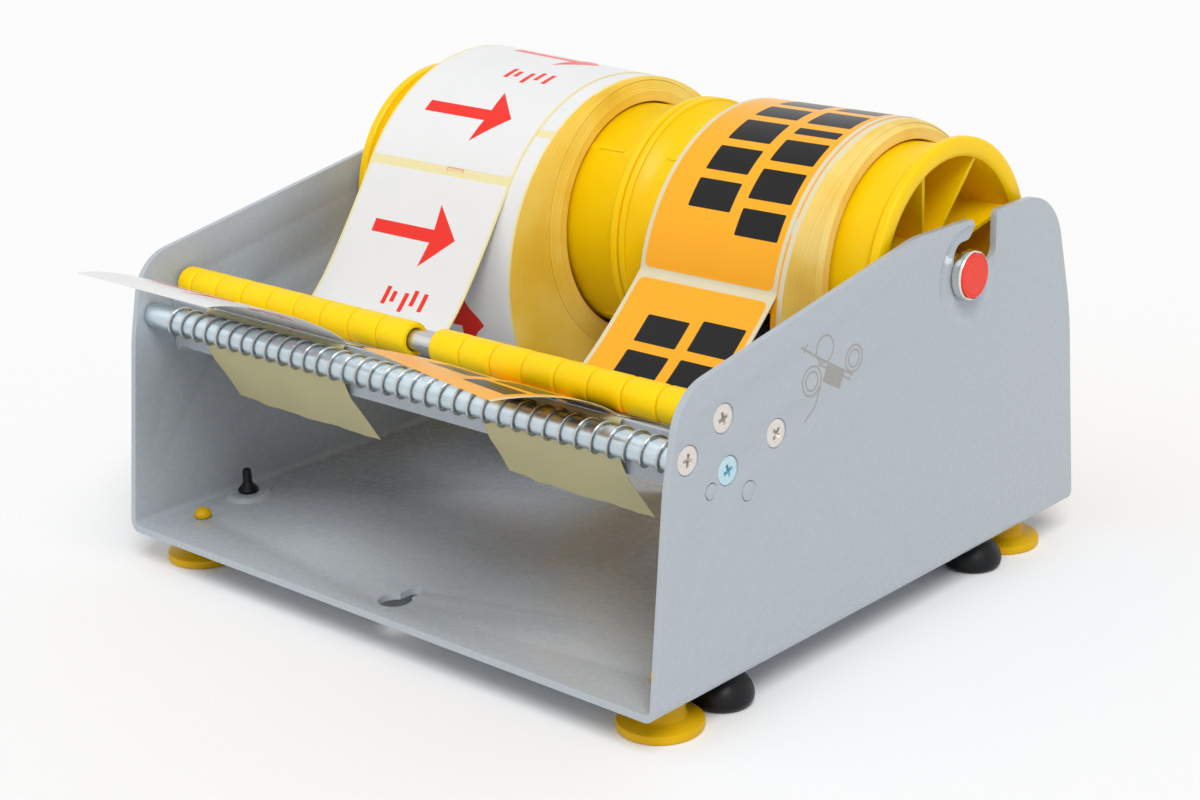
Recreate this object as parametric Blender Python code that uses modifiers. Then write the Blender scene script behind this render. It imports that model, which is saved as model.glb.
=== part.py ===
# Two-lane label dispenser: a folded powder-coated frame on four yellow feet and four suction cups.
# Two rolls of labels hang on yellow hubs on one lift-out shaft. The webs run under a guide roller
# and under yellow press rings to a peel edge, where the liner turns down behind a spring roller.
# X runs across the dispenser, Y from front to back and Z up. Side outlines are written as (y, z)
# from the front bottom corner of the frame, and place() moves them to the part's own origin.

import math

import bmesh
import bpy
from mathutils import Matrix, Vector

# Fits
gap = 0.0003
weld_distance = 0.00001

# Frame, folded from one sheet
frame_width = 0.2100
sheet = 0.0020
bend_radius = 0.0037
overshoot = 0.0010
panel_corners = [
    (0.0000, 0.0000, 0.0),
    (0.0069, 0.0590, 0.060),
    (0.0119, 0.0823, 0.015),
    (0.1095, 0.1000, 0.020),
    (0.1368, 0.0997, 0.0025),
    (0.1368, 0.0940, 0.0027),
    (0.1282, 0.0938, 0.004),
]
rear_corners = [
    (0.1474, 0.0876, 0.004),
    (0.1474, 0.0998, 0.002),
    (0.1781, 0.0999, 0.019),
    (0.1880, 0.0615, 0.080),
    (0.1932, 0.0000, 0.0),
]
dish_radius = 0.0135
dish_depth = 0.0010
keyhole_x = 0.1060
keyhole_y = 0.0105
keyhole_radius = 0.0048
keyhole_slot_radius = 0.0024
keyhole_slot_y = 0.0180

# Reel shaft and knobs
reel_y = 0.1335
reel_z = 0.0846
shaft_radius = 0.0050
shaft_reach = 0.0008
knob_radius = 0.0070
knob_reach = 0.0022
knob_inner = 0.0007
knob_rounding = 0.0012
cap_radius = 0.0063
cap_depth = 0.0010
cap_proud = 0.0005

# Hubs
drum_radius = 0.0340
drum_wall = 0.0022
hub_disc = 0.0016
boss_radius = 0.0090
boss_depth = 0.0060
rib_thickness = 0.0013
rib_set_back = 0.0020
rib_count = 8
rib_sink = 0.0006
# Shares are of the frame width. The drum runs from the flange towards its end share.
hubs = [
    {"name": "left_white_hub", "face_share": 0.0190, "drum_end_share": 0.2857,
     "flange_rise": 0.0038, "flange_depth": 0.0034},
    {"name": "middle_white_hub", "face_share": 0.54833, "drum_end_share": 0.3333,
     "flange_rise": 0.0042, "flange_depth": 0.0026},
    {"name": "middle_orange_hub", "face_share": 0.54976, "drum_end_share": 0.7143,
     "flange_rise": 0.0042, "flange_depth": 0.0026},
    {"name": "right_orange_hub", "face_share": 0.9786, "drum_end_share": 0.8095,
     "flange_rise": 0.0032, "flange_depth": 0.0032},
]

# Rolls, across the frame in shares of its width
core_play = 0.0009
core_clearance = 0.0005
core_wall = 0.0030
web_thickness = 0.0003
slack_gap = 0.0004
turn_thickness = 0.0005
turn_proud = 0.0003
turn_steps = 40
lift_degrees = 75.0
web_off_roller = -70.0
white_roll = {
    "core_shares": (0.1571, 0.4429), "wound_shares": (0.1510, 0.4367),
    "slack_shares": (0.1381, 0.4238), "wound_depth": 0.0033,
    "web_shares": (0.1048, 0.3905), "slack_shift": -0.0002, "slack_swell": 0.0139,
    "slack_rise": 0.0005, "turn_lift": 0.0033,
    "leave_degrees": 146.0, "run_degrees": 56.0, "roller_handle": 0.012, "roll_handle": 0.025,
    "label_shares": (0.1143, 0.3857), "tip_y": -0.0258, "tip_z": 0.0905,
    "label_rise": 47.0, "tip_rise": 3.0, "edge_handle": 0.012, "tip_handle": 0.0112,
    "tail_shares": (0.1014, 0.3886), "tail_y": 0.0305, "tail_z": 0.0372,
}
orange_roll = {
    "core_shares": (0.6690, 0.9000), "wound_shares": (0.6619, 0.8929),
    "slack_shares": (0.6452, 0.8762), "wound_depth": 0.0013,
    "web_shares": (0.6381, 0.8667), "slack_shift": -0.0002, "slack_swell": 0.0099,
    "slack_rise": 0.0004, "turn_lift": 0.0,
    "leave_degrees": 168.0, "run_degrees": 46.0, "roller_handle": 0.010, "roll_handle": 0.012,
    "label_shares": (0.6452, 0.8643), "tip_y": -0.0226, "tip_z": 0.0844,
    "label_rise": 40.0, "tip_rise": 6.0, "edge_handle": 0.0122, "tip_handle": 0.0119,
    "tail_shares": (0.6486, 0.8771), "tail_y": 0.0286, "tail_z": 0.0396,
}
# Bends of the liner round the peel edge, from its nose: back, up and fillet radius
nose_bends = [
    (-0.0004, -0.0002, 0.0),
    (-0.0011, 0.0004, 0.0006),
    (-0.0023, -0.0006, 0.0010),
    (-0.0010, -0.0036, 0.0030),
    (-0.0030, -0.0094, 0.0060),
    (-0.0006, -0.0156, 0.0080),
]

# Rollers between the side panels
press_y = 0.0279
press_z = 0.0721
guide_y = 0.0487
guide_z = 0.0624
spring_y = 0.0143
spring_z = 0.0651
rod_radius = 0.0029
rod_end_bore = 0.0018
rod_end_bore_depth = 0.0075
ring_radius = 0.00495
ring_count = 8
ring_row_share = 0.4400
left_rings_share = 0.0448
right_rings_share = 0.5300
end_ring_share = 0.0143
guide_tube_radius = 0.0040
spring_rod_radius = 0.00245
spring_tube_radius = 0.00345
wire_radius = 0.000475
coil_radius = 0.004225
coil_shares = (0.0571, 0.9829)
coil_count = 36
coil_points = 8

# Peel plate
peel_y = 0.0210
plate_sheet = 0.0015
plate_bottom_z = 0.0540
plate_rear_y = 0.0420
tab_corners = [
    (0.0213, 0.0524, 0.0012),
    (0.0213, 0.0677, 0.0010),
    (0.0415, 0.0592, 0.0020),
    (0.0418, 0.0480, 0.0030),
    (0.0352, 0.0468, 0.0030),
    (0.0240, 0.0515, 0.0020),
]
dowels = [(0.0230, 0.0545, 0.0020), (0.0376, 0.0503, 0.0025)]
dowel_sink = 0.0005

# Screws with countersunk heads
head_radius = 0.00375
head_rim = 0.0003
head_sink = 0.00005
shank_radius = 0.0015
shank_end = 0.0090
cross_half_length = 0.0019
cross_half_width = 0.00045
cross_depth = 0.0011
first_turn = 17.0
turn_step = 31.0
plate_screw_y = 0.0295
plate_screw_z = 0.0581

# Feet and suction cups
foot_inset = 0.0133
front_foot_y = 0.0172
rear_foot_y = 0.1748
foot_height = 0.0106
foot_radius = 0.0115
foot_rim = 0.0027
foot_neck_radius = 0.0065
foot_stem_radius = 0.0020
foot_nub_radius = 0.0026
foot_nub_height = 0.0030
cup_inset = 0.0100
front_cup_y = 0.0378
rear_cup_y = 0.1544
cup_radius = 0.0087
cup_bottom = 0.0099
cup_lip = 0.0007
cup_wall = 0.0014
cup_neck_radius = 0.0040
cup_neck_height = 0.0035
cup_stem_radius = 0.0021
cup_button_radius = 0.0042
cup_button_height = 0.0014
cup_shoulder_height = 0.0034
cup_tip_radius = 0.0020
cup_tip_height = 0.0090

round_steps = 24
small_steps = 14


for old_object in list(bpy.data.objects):
    bpy.data.objects.remove(old_object, do_unlink=True)

parts = bpy.data.collections.new("wall_label_dispenser")
guides = bpy.data.collections.new("cutters")
bpy.context.scene.collection.children.link(parts)
bpy.context.scene.collection.children.link(guides)


def material(name, hex_colour, roughness, metallic):
    made = bpy.data.materials.new(name)
    made.use_nodes = True
    shader = made.node_tree.nodes["Principled BSDF"]
    channels = [int(hex_colour[i:i + 2], 16) / 255 for i in (0, 2, 4)]
    linear = [c / 12.92 if c <= 0.04045 else ((c + 0.055) / 1.055) ** 2.4 for c in channels]
    shader.inputs["Base Color"].default_value = (*linear, 1)
    shader.inputs["Roughness"].default_value = roughness
    shader.inputs["Metallic"].default_value = metallic
    return made


painted_sheet = material("painted_sheet", "B4BCC4", 0.42, 0.0)
rod_steel = material("rod_steel", "C9CDD0", 0.3, 0.9)
tube_zinc = material("tube_zinc", "C4D2DB", 0.3, 0.9)
spring_steel = material("spring_steel", "BFC4C4", 0.25, 0.9)
screw_nickel = material("screw_nickel", "DDD8D2", 0.3, 0.9)
knob_chrome = material("knob_chrome", "E4E4E2", 0.1, 1.0)
cap_red = material("cap_red", "EE4538", 0.4, 0.0)
hub_yellow = material("hub_yellow", "F9D000", 0.45, 0.0)
foot_yellow = material("foot_yellow", "E3B800", 0.5, 0.0)
cup_black = material("cup_black", "17181A", 0.5, 0.0)
core_card = material("core_card", "B79B6A", 0.8, 0.0)
white_paper = material("white_paper", "EDEFF0", 0.5, 0.0)
orange_paper = material("orange_paper", "FFB02E", 0.5, 0.0)
liner_paper = material("liner_paper", "C8C394", 0.55, 0.0)


def direction(degrees):
    angle = math.radians(degrees)
    return Vector((math.cos(angle), math.sin(angle)))


def arc(centre, radius, start, end, count):
    """Points on a circle from one angle to another, in degrees, both ends included."""
    steps = [start + (end - start) * i / count for i in range(count + 1)]
    return [Vector(centre) + radius * direction(step) for step in steps]


def circle(centre, radius, count):
    return arc(centre, radius, 0, 360, count)[:-1]


def rounded(corners, closed, count=4):
    """Turns (u, v, fillet radius) corners into points with each corner rounded by an arc."""
    points = []
    last = len(corners) - 1
    for i, (u, v, radius) in enumerate(corners):
        corner = Vector((u, v))
        at_end = not closed and i in (0, last)
        if radius == 0 or at_end:
            points.append(corner)
            continue
        back = Vector(corners[i - 1][:2]) - corner
        ahead = Vector(corners[(i + 1) % len(corners)][:2]) - corner
        back.normalize()
        ahead.normalize()
        half = math.acos(back.dot(ahead)) / 2
        reach = radius / math.tan(half)
        centre = corner + (back + ahead).normalized() * radius / math.sin(half)
        start = corner + back * reach - centre
        end = corner + ahead * reach - centre
        turn = math.atan2(start.cross(end), start.dot(end))
        for k in range(count + 1):
            points.append(centre + Matrix.Rotation(turn * k / count, 2) @ start)
    return points


def bezier(start, start_handle, end_handle, end, count):
    points = []
    for i in range(count + 1):
        t = i / count
        s = 1 - t
        first = start * s ** 3 + start_handle * 3 * s * s * t
        second = end_handle * 3 * s * t * t + end * t ** 3
        points.append(first + second)
    return points


def strip(path, thickness):
    """Closed outline of a sheet of even thickness that follows a path."""
    left = []
    right = []
    for i, point in enumerate(path):
        before = path[max(i - 1, 0)]
        after = path[min(i + 1, len(path) - 1)]
        along = (after - before).normalized()
        side = Vector((-along.y, along.x)) * thickness / 2
        left.append(point + side)
        right.append(point - side)
    return left, right


def add_object(name, data, finish, origin):
    made = bpy.data.objects.new(name, data)
    made.location = origin
    if finish is None:
        guides.objects.link(made)
        made.hide_render = True
        made.display_type = "WIRE"
    else:
        parts.objects.link(made)
        data.materials.append(finish)
    return made


def smooth(made, degrees=35):
    made.data.shade_smooth()
    made.data.set_sharp_from_angle(angle=math.radians(degrees))


def prism(name, finish, outline, holes, start, end, origin=(0.0, 0.0), across=True):
    """Flat outline with holes, extruded along X (outline in y, z) or along Z (outline in x, y)."""
    data = bpy.data.curves.new(name, "CURVE")
    data.dimensions = "2D"
    data.fill_mode = "BOTH"
    data.extrude = (end - start) / 2
    for loop in [outline] + holes:
        spline = data.splines.new("POLY")
        spline.points.add(len(loop) - 1)
        spline.use_cyclic_u = True
        for point, (u, v) in zip(spline.points, loop):
            point.co = (u - origin[0], v - origin[1], 0, 1)
    middle = (start + end) / 2
    where = place(middle, *origin) if across else place(*origin, middle)
    curve = add_object(name, data, finish, where)
    if across:
        curve.rotation_euler = (math.pi / 2, 0, math.pi / 2)
    return as_mesh(curve, finish)


def as_mesh(curve, finish):
    """Replaces a curve object by a closed mesh of the same name and place."""
    bpy.context.view_layer.update()
    seen = curve.evaluated_get(bpy.context.evaluated_depsgraph_get())
    mesh = bpy.data.meshes.new_from_object(seen)
    form = bmesh.new()
    form.from_mesh(mesh)
    bmesh.ops.remove_doubles(form, verts=form.verts, dist=weld_distance)
    bmesh.ops.recalc_face_normals(form, faces=form.faces)
    form.to_mesh(mesh)
    form.free()
    name = curve.name
    spot = curve.matrix_world.copy()
    bpy.data.objects.remove(curve, do_unlink=True)
    mesh.materials.clear()
    made = add_object(name, mesh, finish, (0, 0, 0))
    made.matrix_world = spot
    smooth(made)
    return made


def turned(name, finish, profile, centre, steps=small_steps, upright=False):
    """Turns a profile of (distance along the axis, radius) about X, or about Z when upright."""
    area = 0
    for (a1, r1), (a2, r2) in zip(profile, profile[1:] + profile[:1]):
        area += r1 * a2 - r2 * a1
    ordered = profile if area < 0 else profile[::-1]
    on_axis = [i for i, (along, radius) in enumerate(ordered) if radius == 0]
    closed = not on_axis
    if on_axis and on_axis != [0, len(ordered) - 1]:
        start = on_axis[1] if on_axis[1] == on_axis[0] + 1 else on_axis[0]
        ordered = ordered[start:] + ordered[:start]
    mesh = bpy.data.meshes.new(name)
    edges = [(i, i + 1) for i in range(len(ordered) - 1)]
    if closed:
        edges.append((len(ordered) - 1, 0))
    mesh.from_pydata([(radius, 0, along) for along, radius in ordered], edges, [])
    made = add_object(name, mesh, finish, centre)
    if not upright:
        made.rotation_euler = (0, math.pi / 2, 0)
    screw = made.modifiers.new("turn", "SCREW")
    screw.steps = steps
    screw.render_steps = steps
    screw.use_merge_vertices = True
    screw.merge_threshold = weld_distance
    screw.use_smooth_shade = True
    return made


def combine(target, tool, operation):
    """Cuts, joins or intersects the target with a tool that stays out of the model."""
    step = target.modifiers.new(operation.lower(), "BOOLEAN")
    step.operation = operation
    step.object = tool


def mirrored(x):
    return frame_width - x


# The straight run of the web is the line that touches the press rings and the guide roller from below.
press = Vector((press_y, press_z))
guide = Vector((guide_y, guide_z))
ring_reach = ring_radius + gap + web_thickness / 2
guide_reach = guide_tube_radius + gap + web_thickness / 2
between = guide - press
lean = math.acos((guide_reach - ring_reach) / between.length)
up = Matrix.Rotation(lean, 2) @ between.normalized()
rearward = Vector((up.y, -up.x))
web_line_start = press - up * ring_reach
plate_top = press - up * (ring_reach + web_thickness / 2 + gap)


def lane_ends(shares):
    return [share * frame_width for share in shares]


def flat_place(point):
    """The same shift as place(), for a (y, z) point of a side outline."""
    return Vector((point.x - middle_y, point.y + foot_height))


def on_line(point, y):
    """Point of the sloping line through a given point at a given y."""
    return point + rearward * (y - point.x) / rearward.x


def label_path(roll):
    start = on_line(web_line_start, peel_y)
    tip = Vector((roll["tip_y"], roll["tip_z"]))
    away = direction(180 - roll["label_rise"])
    flat = direction(-roll["tip_rise"])
    start_handle = start + away * roll["edge_handle"]
    return bezier(start, start_handle, tip + flat * roll["tip_handle"], tip, 12)


label_outlines = {}
for lane, roll in (("white", white_roll), ("orange", orange_roll)):
    upper, lower = strip(label_path(roll), web_thickness)
    label_outlines[lane] = upper + lower[::-1]
front_y = min(point.x for point in label_outlines["white"])
rear_y = rear_corners[-1][0]
middle_y = (front_y + rear_y) / 2


def place(x, y, z):
    return Vector((x - frame_width / 2, y - middle_y, z + foot_height))


# Frame: the side outline cuts a plain folded channel, so both panels share it.
seat = Vector((reel_y, reel_z))
seat_radius = shaft_radius + gap
seat_arc = [(*point, 0.0) for point in arc(seat, seat_radius, 180, 305, 8)]
side_loop = rounded(panel_corners + seat_arc + rear_corners, True)
side_loop = [Vector((side_loop[0].x, -overshoot))] + side_loop[1:-1] + [Vector((rear_y, -overshoot))]
dowel_holes = [arc((y, z), radius + gap, 15, 375, 12)[:-1] for y, z, radius in dowels]
side_shape = prism("side_shape", None, side_loop, dowel_holes, -overshoot, frame_width + overshoot)

channel_top = max(z for y, z, radius in panel_corners + rear_corners) + overshoot
inner_bend = bend_radius - sheet
outer_left = arc((bend_radius, bend_radius), bend_radius, 180, 270, 5)
outer_right = arc((frame_width - bend_radius, bend_radius), bend_radius, 270, 360, 5)
inner_right = arc((frame_width - bend_radius, bend_radius), inner_bend, 360, 270, 5)
inner_left = arc((bend_radius, bend_radius), inner_bend, 270, 180, 5)
section = [Vector((0, channel_top))] + outer_left + outer_right
section += [Vector((frame_width, channel_top)), Vector((frame_width - sheet, channel_top))]
section += inner_right + inner_left + [Vector((sheet, channel_top))]
bpy.context.view_layer.update()
channel_data = bpy.data.curves.new("folded_frame", "CURVE")
channel_data.dimensions = "2D"
channel_data.fill_mode = "BOTH"
channel_data.extrude = rear_y / 2 + overshoot
channel_spline = channel_data.splines.new("POLY")
channel_spline.points.add(len(section) - 1)
channel_spline.use_cyclic_u = True
for point, (u, v) in zip(channel_spline.points, section):
    point.co = (u - frame_width / 2, v, 0, 1)
frame = add_object("folded_frame", channel_data, painted_sheet, place(frame_width / 2, rear_y / 2, 0))
frame.rotation_euler = (math.pi / 2, 0, 0)
frame = as_mesh(frame, painted_sheet)
combine(frame, side_shape, "INTERSECT")

screw_sites = [
    ("press_rod", press_y, press_z, shank_end),
    ("guide_rod", guide_y, guide_z, shank_end),
    ("spring_rod", spring_y, spring_z, shank_end),
    ("peel_plate", plate_screw_y, plate_screw_z, shank_end),
]
head_slope = (head_radius - shank_radius) / (sheet - head_rim)
hole_rise = gap * math.sqrt(1 + head_slope * head_slope)
rim_radius = head_radius + gap
cone_start = head_rim + (hole_rise - gap) / head_slope
hole_profile = [
    (-overshoot, 0), (-overshoot, rim_radius), (cone_start, rim_radius),
    (sheet, shank_radius + hole_rise), (sheet + overshoot, shank_radius + hole_rise),
    (sheet + overshoot, 0),
]
dish_profile = [(-overshoot, 0), (-overshoot, dish_radius), (dish_depth, dish_radius), (dish_depth, 0)]


def from_side(profile, right):
    """Profile measured inward from the left outer face, or from the right one."""
    return [(mirrored(along) if right else along, radius) for along, radius in profile]


def on_panel(name, finish, profile, y, z, right, steps=small_steps):
    return turned(name, finish, from_side(profile, right), place(0, y, z), steps)


for right in (False, True):
    for name, y, z, length in screw_sites:
        combine(frame, on_panel("hole_" + name, None, hole_profile, y, z, right, 12), "DIFFERENCE")
    combine(frame, on_panel("dish", None, dish_profile, reel_y, reel_z, right, 26), "DIFFERENCE")

slot_end = Vector((keyhole_x, keyhole_slot_y))
key_half = math.degrees(math.asin(keyhole_slot_radius / keyhole_radius))
keyhole = arc((keyhole_x, keyhole_y), keyhole_radius, 90 + key_half, 450 - key_half, 14)
keyhole += arc(slot_end, keyhole_slot_radius, 0, 180, 6)
key_cutter = prism("keyhole", None, keyhole, [], -overshoot, sheet + overshoot, across=False)
combine(frame, key_cutter, "DIFFERENCE")

feet = []
cups = []
for side, x_sign in (("left", 1), ("right", -1)):
    for end, foot_y, cup_y in (("front", front_foot_y, front_cup_y), ("rear", rear_foot_y, rear_cup_y)):
        foot_x = foot_inset if x_sign > 0 else mirrored(foot_inset)
        cup_x = cup_inset if x_sign > 0 else mirrored(cup_inset)
        feet.append((f"{end}_{side}_foot", foot_x, foot_y))
        cups.append((f"{end}_{side}_suction_cup", cup_x, cup_y))
foot_nub_base = sheet + gap
foot_profile = [
    (-foot_height, 0), (-foot_height, foot_radius), (-foot_height + foot_rim, foot_radius),
    (-gap, foot_neck_radius), (-gap, foot_stem_radius), (foot_nub_base, foot_stem_radius),
    (foot_nub_base, foot_nub_radius), (sheet + foot_nub_height * 0.6, foot_nub_radius * 0.85),
    (sheet + foot_nub_height, foot_nub_radius * 0.4), (sheet + foot_nub_height, 0),
]
cup_dome = -cup_neck_height
cup_profile = [
    (-cup_bottom, cup_radius), (-cup_bottom + cup_lip, cup_radius),
    (cup_dome, cup_neck_radius), (-gap, cup_neck_radius), (-gap, cup_stem_radius),
    (sheet + gap, cup_stem_radius), (sheet + gap, cup_button_radius * 0.85),
    (sheet + cup_button_height, cup_button_radius), (sheet + cup_shoulder_height, cup_tip_radius),
    (sheet + cup_tip_height - cup_tip_radius * 0.4, cup_tip_radius),
    (sheet + cup_tip_height, cup_tip_radius * 0.5), (sheet + cup_tip_height, 0),
    (cup_dome - cup_wall, 0), (cup_dome - cup_wall, cup_neck_radius * 0.6),
    (-cup_bottom, cup_radius - cup_wall),
]
for name, x, y in feet:
    turned(name, foot_yellow, foot_profile, place(x, y, 0), small_steps, upright=True)
    hole = [(-overshoot, 0), (-overshoot, foot_stem_radius + gap),
            (sheet + overshoot, foot_stem_radius + gap), (sheet + overshoot, 0)]
    combine(frame, turned("stem_hole", None, hole, place(x, y, 0), 12, upright=True), "DIFFERENCE")
for name, x, y in cups:
    turned(name, cup_black, cup_profile, place(x, y, 0), small_steps, upright=True)
    hole = [(-overshoot, 0), (-overshoot, cup_stem_radius + gap),
            (sheet + overshoot, cup_stem_radius + gap), (sheet + overshoot, 0)]
    combine(frame, turned("stem_hole", None, hole, place(x, y, 0), 12, upright=True), "DIFFERENCE")

# Reel shaft with a chrome knob and a red cap outside each panel
shaft_profile = [(-shaft_reach, 0), (-shaft_reach, shaft_radius),
                 (mirrored(-shaft_reach), shaft_radius), (mirrored(-shaft_reach), 0)]
turned("reel_shaft", rod_steel, shaft_profile, place(0, reel_y, reel_z), 20)
knob_profile = [
    (knob_inner, shaft_radius + gap), (knob_inner, knob_radius - knob_rounding / 2),
    (knob_inner - knob_rounding / 2, knob_radius), (-knob_reach + knob_rounding / 2, knob_radius),
    (-knob_reach, knob_radius - knob_rounding / 4), (-knob_reach, cap_radius + gap),
    (-knob_reach + cap_depth, cap_radius + gap), (-knob_reach + cap_depth, shaft_radius + gap),
]
cap_inner = -knob_reach + cap_depth - gap
cap_outer = -knob_reach - cap_proud
cap_profile = [(cap_inner, 0), (cap_inner, cap_radius), (cap_outer + cap_proud, cap_radius),
               (cap_outer, cap_radius - cap_proud), (cap_outer, 0)]
for side, right in (("left", False), ("right", True)):
    on_panel(side + "_knob", knob_chrome, knob_profile, reel_y, reel_z, right, 18)
    on_panel(side + "_knob_cap", cap_red, cap_profile, reel_y, reel_z, right, 18)

# Hubs: an open cup with a flange, a boss on the shaft and ribs between the boss and the drum
for hub_sizes in hubs:
    name = hub_sizes["name"]
    flange_x = hub_sizes["face_share"] * frame_width
    drum_end_x = hub_sizes["drum_end_share"] * frame_width
    way = 1 if drum_end_x > flange_x else -1
    depth = abs(drum_end_x - flange_x)
    flange_depth = hub_sizes["flange_depth"]
    flange_radius = drum_radius + hub_sizes["flange_rise"]
    inside = drum_radius - drum_wall
    bore = shaft_radius + gap
    cup_shape = [
        (0, inside), (0, flange_radius), (flange_depth, flange_radius), (flange_depth, drum_radius),
        (depth, drum_radius), (depth, bore), (boss_depth, bore), (boss_depth, boss_radius),
        (depth - hub_disc, boss_radius), (depth - hub_disc, inside),
    ]
    profile = [(flange_x + way * along, radius) for along, radius in cup_shape]
    hub = turned(name, hub_yellow, profile, place(0, reel_y, reel_z), round_steps)
    rib_mesh = bmesh.new()
    rib_outline = [
        (boss_radius - rib_sink, boss_depth + rib_set_back),
        (inside + rib_sink, rib_set_back),
        (inside + rib_sink, depth - hub_disc / 2),
        (boss_radius - rib_sink, depth - hub_disc / 2),
    ]
    for k in range(rib_count):
        turn = Matrix.Rotation(math.tau * (k + 0.5) / rib_count, 4, "X")
        corners = []
        for radius, along in rib_outline:
            corners.append(turn @ Vector((flange_x + way * along, radius, 0)))
        sideways = turn @ Vector((0, 0, rib_thickness / 2))
        near = [rib_mesh.verts.new(corner - sideways) for corner in corners]
        face = rib_mesh.faces.new(near)
        block = bmesh.ops.extrude_face_region(rib_mesh, geom=[face])
        moved = [item for item in block["geom"] if isinstance(item, bmesh.types.BMVert)]
        bmesh.ops.translate(rib_mesh, verts=moved, vec=2 * sideways)
    bmesh.ops.recalc_face_normals(rib_mesh, faces=rib_mesh.faces)
    rib_data = bpy.data.meshes.new(name + "_ribs")
    rib_mesh.to_mesh(rib_data)
    rib_mesh.free()
    ribs = add_object(name + "_ribs", rib_data, None, place(0, reel_y, reel_z))
    combine(hub, ribs, "UNION")

# Rolls: each core hangs on the drum, the tight turns sit on the core, and the slack turns hang lower.
core_inner_radius = drum_radius + core_play
core_z = reel_z - (core_play - core_clearance)
core_radius = core_inner_radius + core_wall
for lane, roll, paper in (("white", white_roll, white_paper), ("orange", orange_roll, orange_paper)):
    start, end = lane_ends(roll["core_shares"])
    centre = place(0, reel_y, core_z)
    core = [(start, core_inner_radius), (start, core_radius), (end, core_radius), (end, core_inner_radius)]
    turned(lane + "_roll_core", core_card, core, centre, round_steps)
    inner = core_radius + gap
    wound = core_radius + roll["wound_depth"]
    start, end = lane_ends(roll["wound_shares"])
    tight = [(start, inner), (start, wound), (end, wound), (end, inner)]
    turned(lane + "_roll_windings", paper, tight, centre, round_steps)

    start, end = lane_ends(roll["slack_shares"])
    hole_radius = wound + slack_gap
    slack_radius = hole_radius + roll["slack_swell"]
    slack_drop = roll["slack_swell"] - roll["slack_rise"]
    turn = Vector((reel_y + roll["slack_shift"], core_z - slack_drop))
    turn_radius = slack_radius + turn_proud
    leave = turn + turn_radius * direction(roll["leave_degrees"])
    run = direction(roll["run_degrees"])
    leave_middle = leave + Vector((run.y, -run.x)) * web_thickness / 2
    under = guide + guide_reach * direction(web_off_roller)
    onward = direction(web_off_roller + 90)
    run_path = bezier(leave_middle, leave_middle - run * roll["roll_handle"],
                      under + onward * roll["roller_handle"], under, 10)
    line_angle = math.degrees(math.atan2(-up.y, -up.x))
    run_path += arc(guide, guide_reach, web_off_roller, line_angle, 3)[1:]
    run_path.append(on_line(web_line_start, peel_y + 2 * gap))
    outer_side, roll_side = strip(run_path, web_thickness)
    if (roll_side[1] - turn).length > (outer_side[1] - turn).length:
        outer_side, roll_side = roll_side, outer_side
    clear_side = [point for point in roll_side if (point - turn).length > turn_radius + gap]
    first = clear_side[0] - turn
    meet = math.degrees(math.atan2(first.y, first.x)) % 360
    around = arc(turn, turn_radius, roll["leave_degrees"] + 360, meet, turn_steps)
    web_outline = around + clear_side + outer_side[::-1][:-1]
    turn_hole = circle(turn, turn_radius - turn_thickness, turn_steps)
    web_start, web_end = lane_ends(roll["web_shares"])
    web = prism(lane + "_label_web", paper, web_outline, [turn_hole], web_start, web_end)
    # The outermost turn stands off the turns below it, most at its left edge over the top.
    for vertex in web.data.vertices:
        spot = web.matrix_world @ vertex.co
        away = Vector((spot.y, spot.z)) - flat_place(turn)
        share = (place(web_end, 0, 0).x - spot.x) / (web_end - web_start)
        near = abs(away.length - turn_radius + turn_thickness / 2) < turn_thickness
        rise = max(0, away.normalized().dot(direction(lift_degrees)))
        if near and rise > 0:
            push = away.normalized() * roll["turn_lift"] * share * rise * rise
            vertex.co = web.matrix_world.inverted() @ (spot + Vector((0, push.x, push.y)))
    form = bmesh.new()
    form.from_mesh(web.data)
    bmesh.ops.triangulate(form, faces=form.faces)
    form.to_mesh(web.data)
    form.free()
    roll_hole = circle((reel_y, core_z), hole_radius, turn_steps)
    half_step = 180 / turn_steps
    slack_ring = arc(turn, slack_radius, half_step, 360 + half_step, turn_steps)[:-1]
    combine(web, prism("slack_turns", None, slack_ring, [roll_hole], start, end), "UNION")

    prism(lane + "_peeled_label", paper, label_outlines[lane], [], *lane_ends(roll["label_shares"]))

    nose = on_line(plate_top, peel_y)
    tail_corners = [(nose.x + back, nose.y + rise, radius) for back, rise, radius in nose_bends]
    tail_corners.append((roll["tail_y"], roll["tail_z"], 0.0))
    tail_path = rounded(tail_corners, False, 4)
    upper, lower = strip(tail_path, web_thickness)
    prism(lane + "_liner_tail", liner_paper, upper + lower[::-1], [], *lane_ends(roll["tail_shares"]))

# Rods and rollers between the panels
rod_start = sheet + gap
rod_end = mirrored(rod_start)


def bored_rod(name, radius, y, z):
    profile = [
        (rod_start + rod_end_bore_depth, 0), (rod_start + rod_end_bore_depth, rod_end_bore),
        (rod_start, rod_end_bore), (rod_start, radius), (rod_end, radius), (rod_end, rod_end_bore),
        (rod_end - rod_end_bore_depth, rod_end_bore), (rod_end - rod_end_bore_depth, 0),
    ]
    return turned(name, rod_steel, profile, place(0, y, z))


def tube(name, finish, inner, outer, start, end, y, z, steps=small_steps):
    profile = [(start, inner), (start, outer), (end, outer), (end, inner)]
    return turned(name, finish, profile, place(0, y, z), steps)


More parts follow.
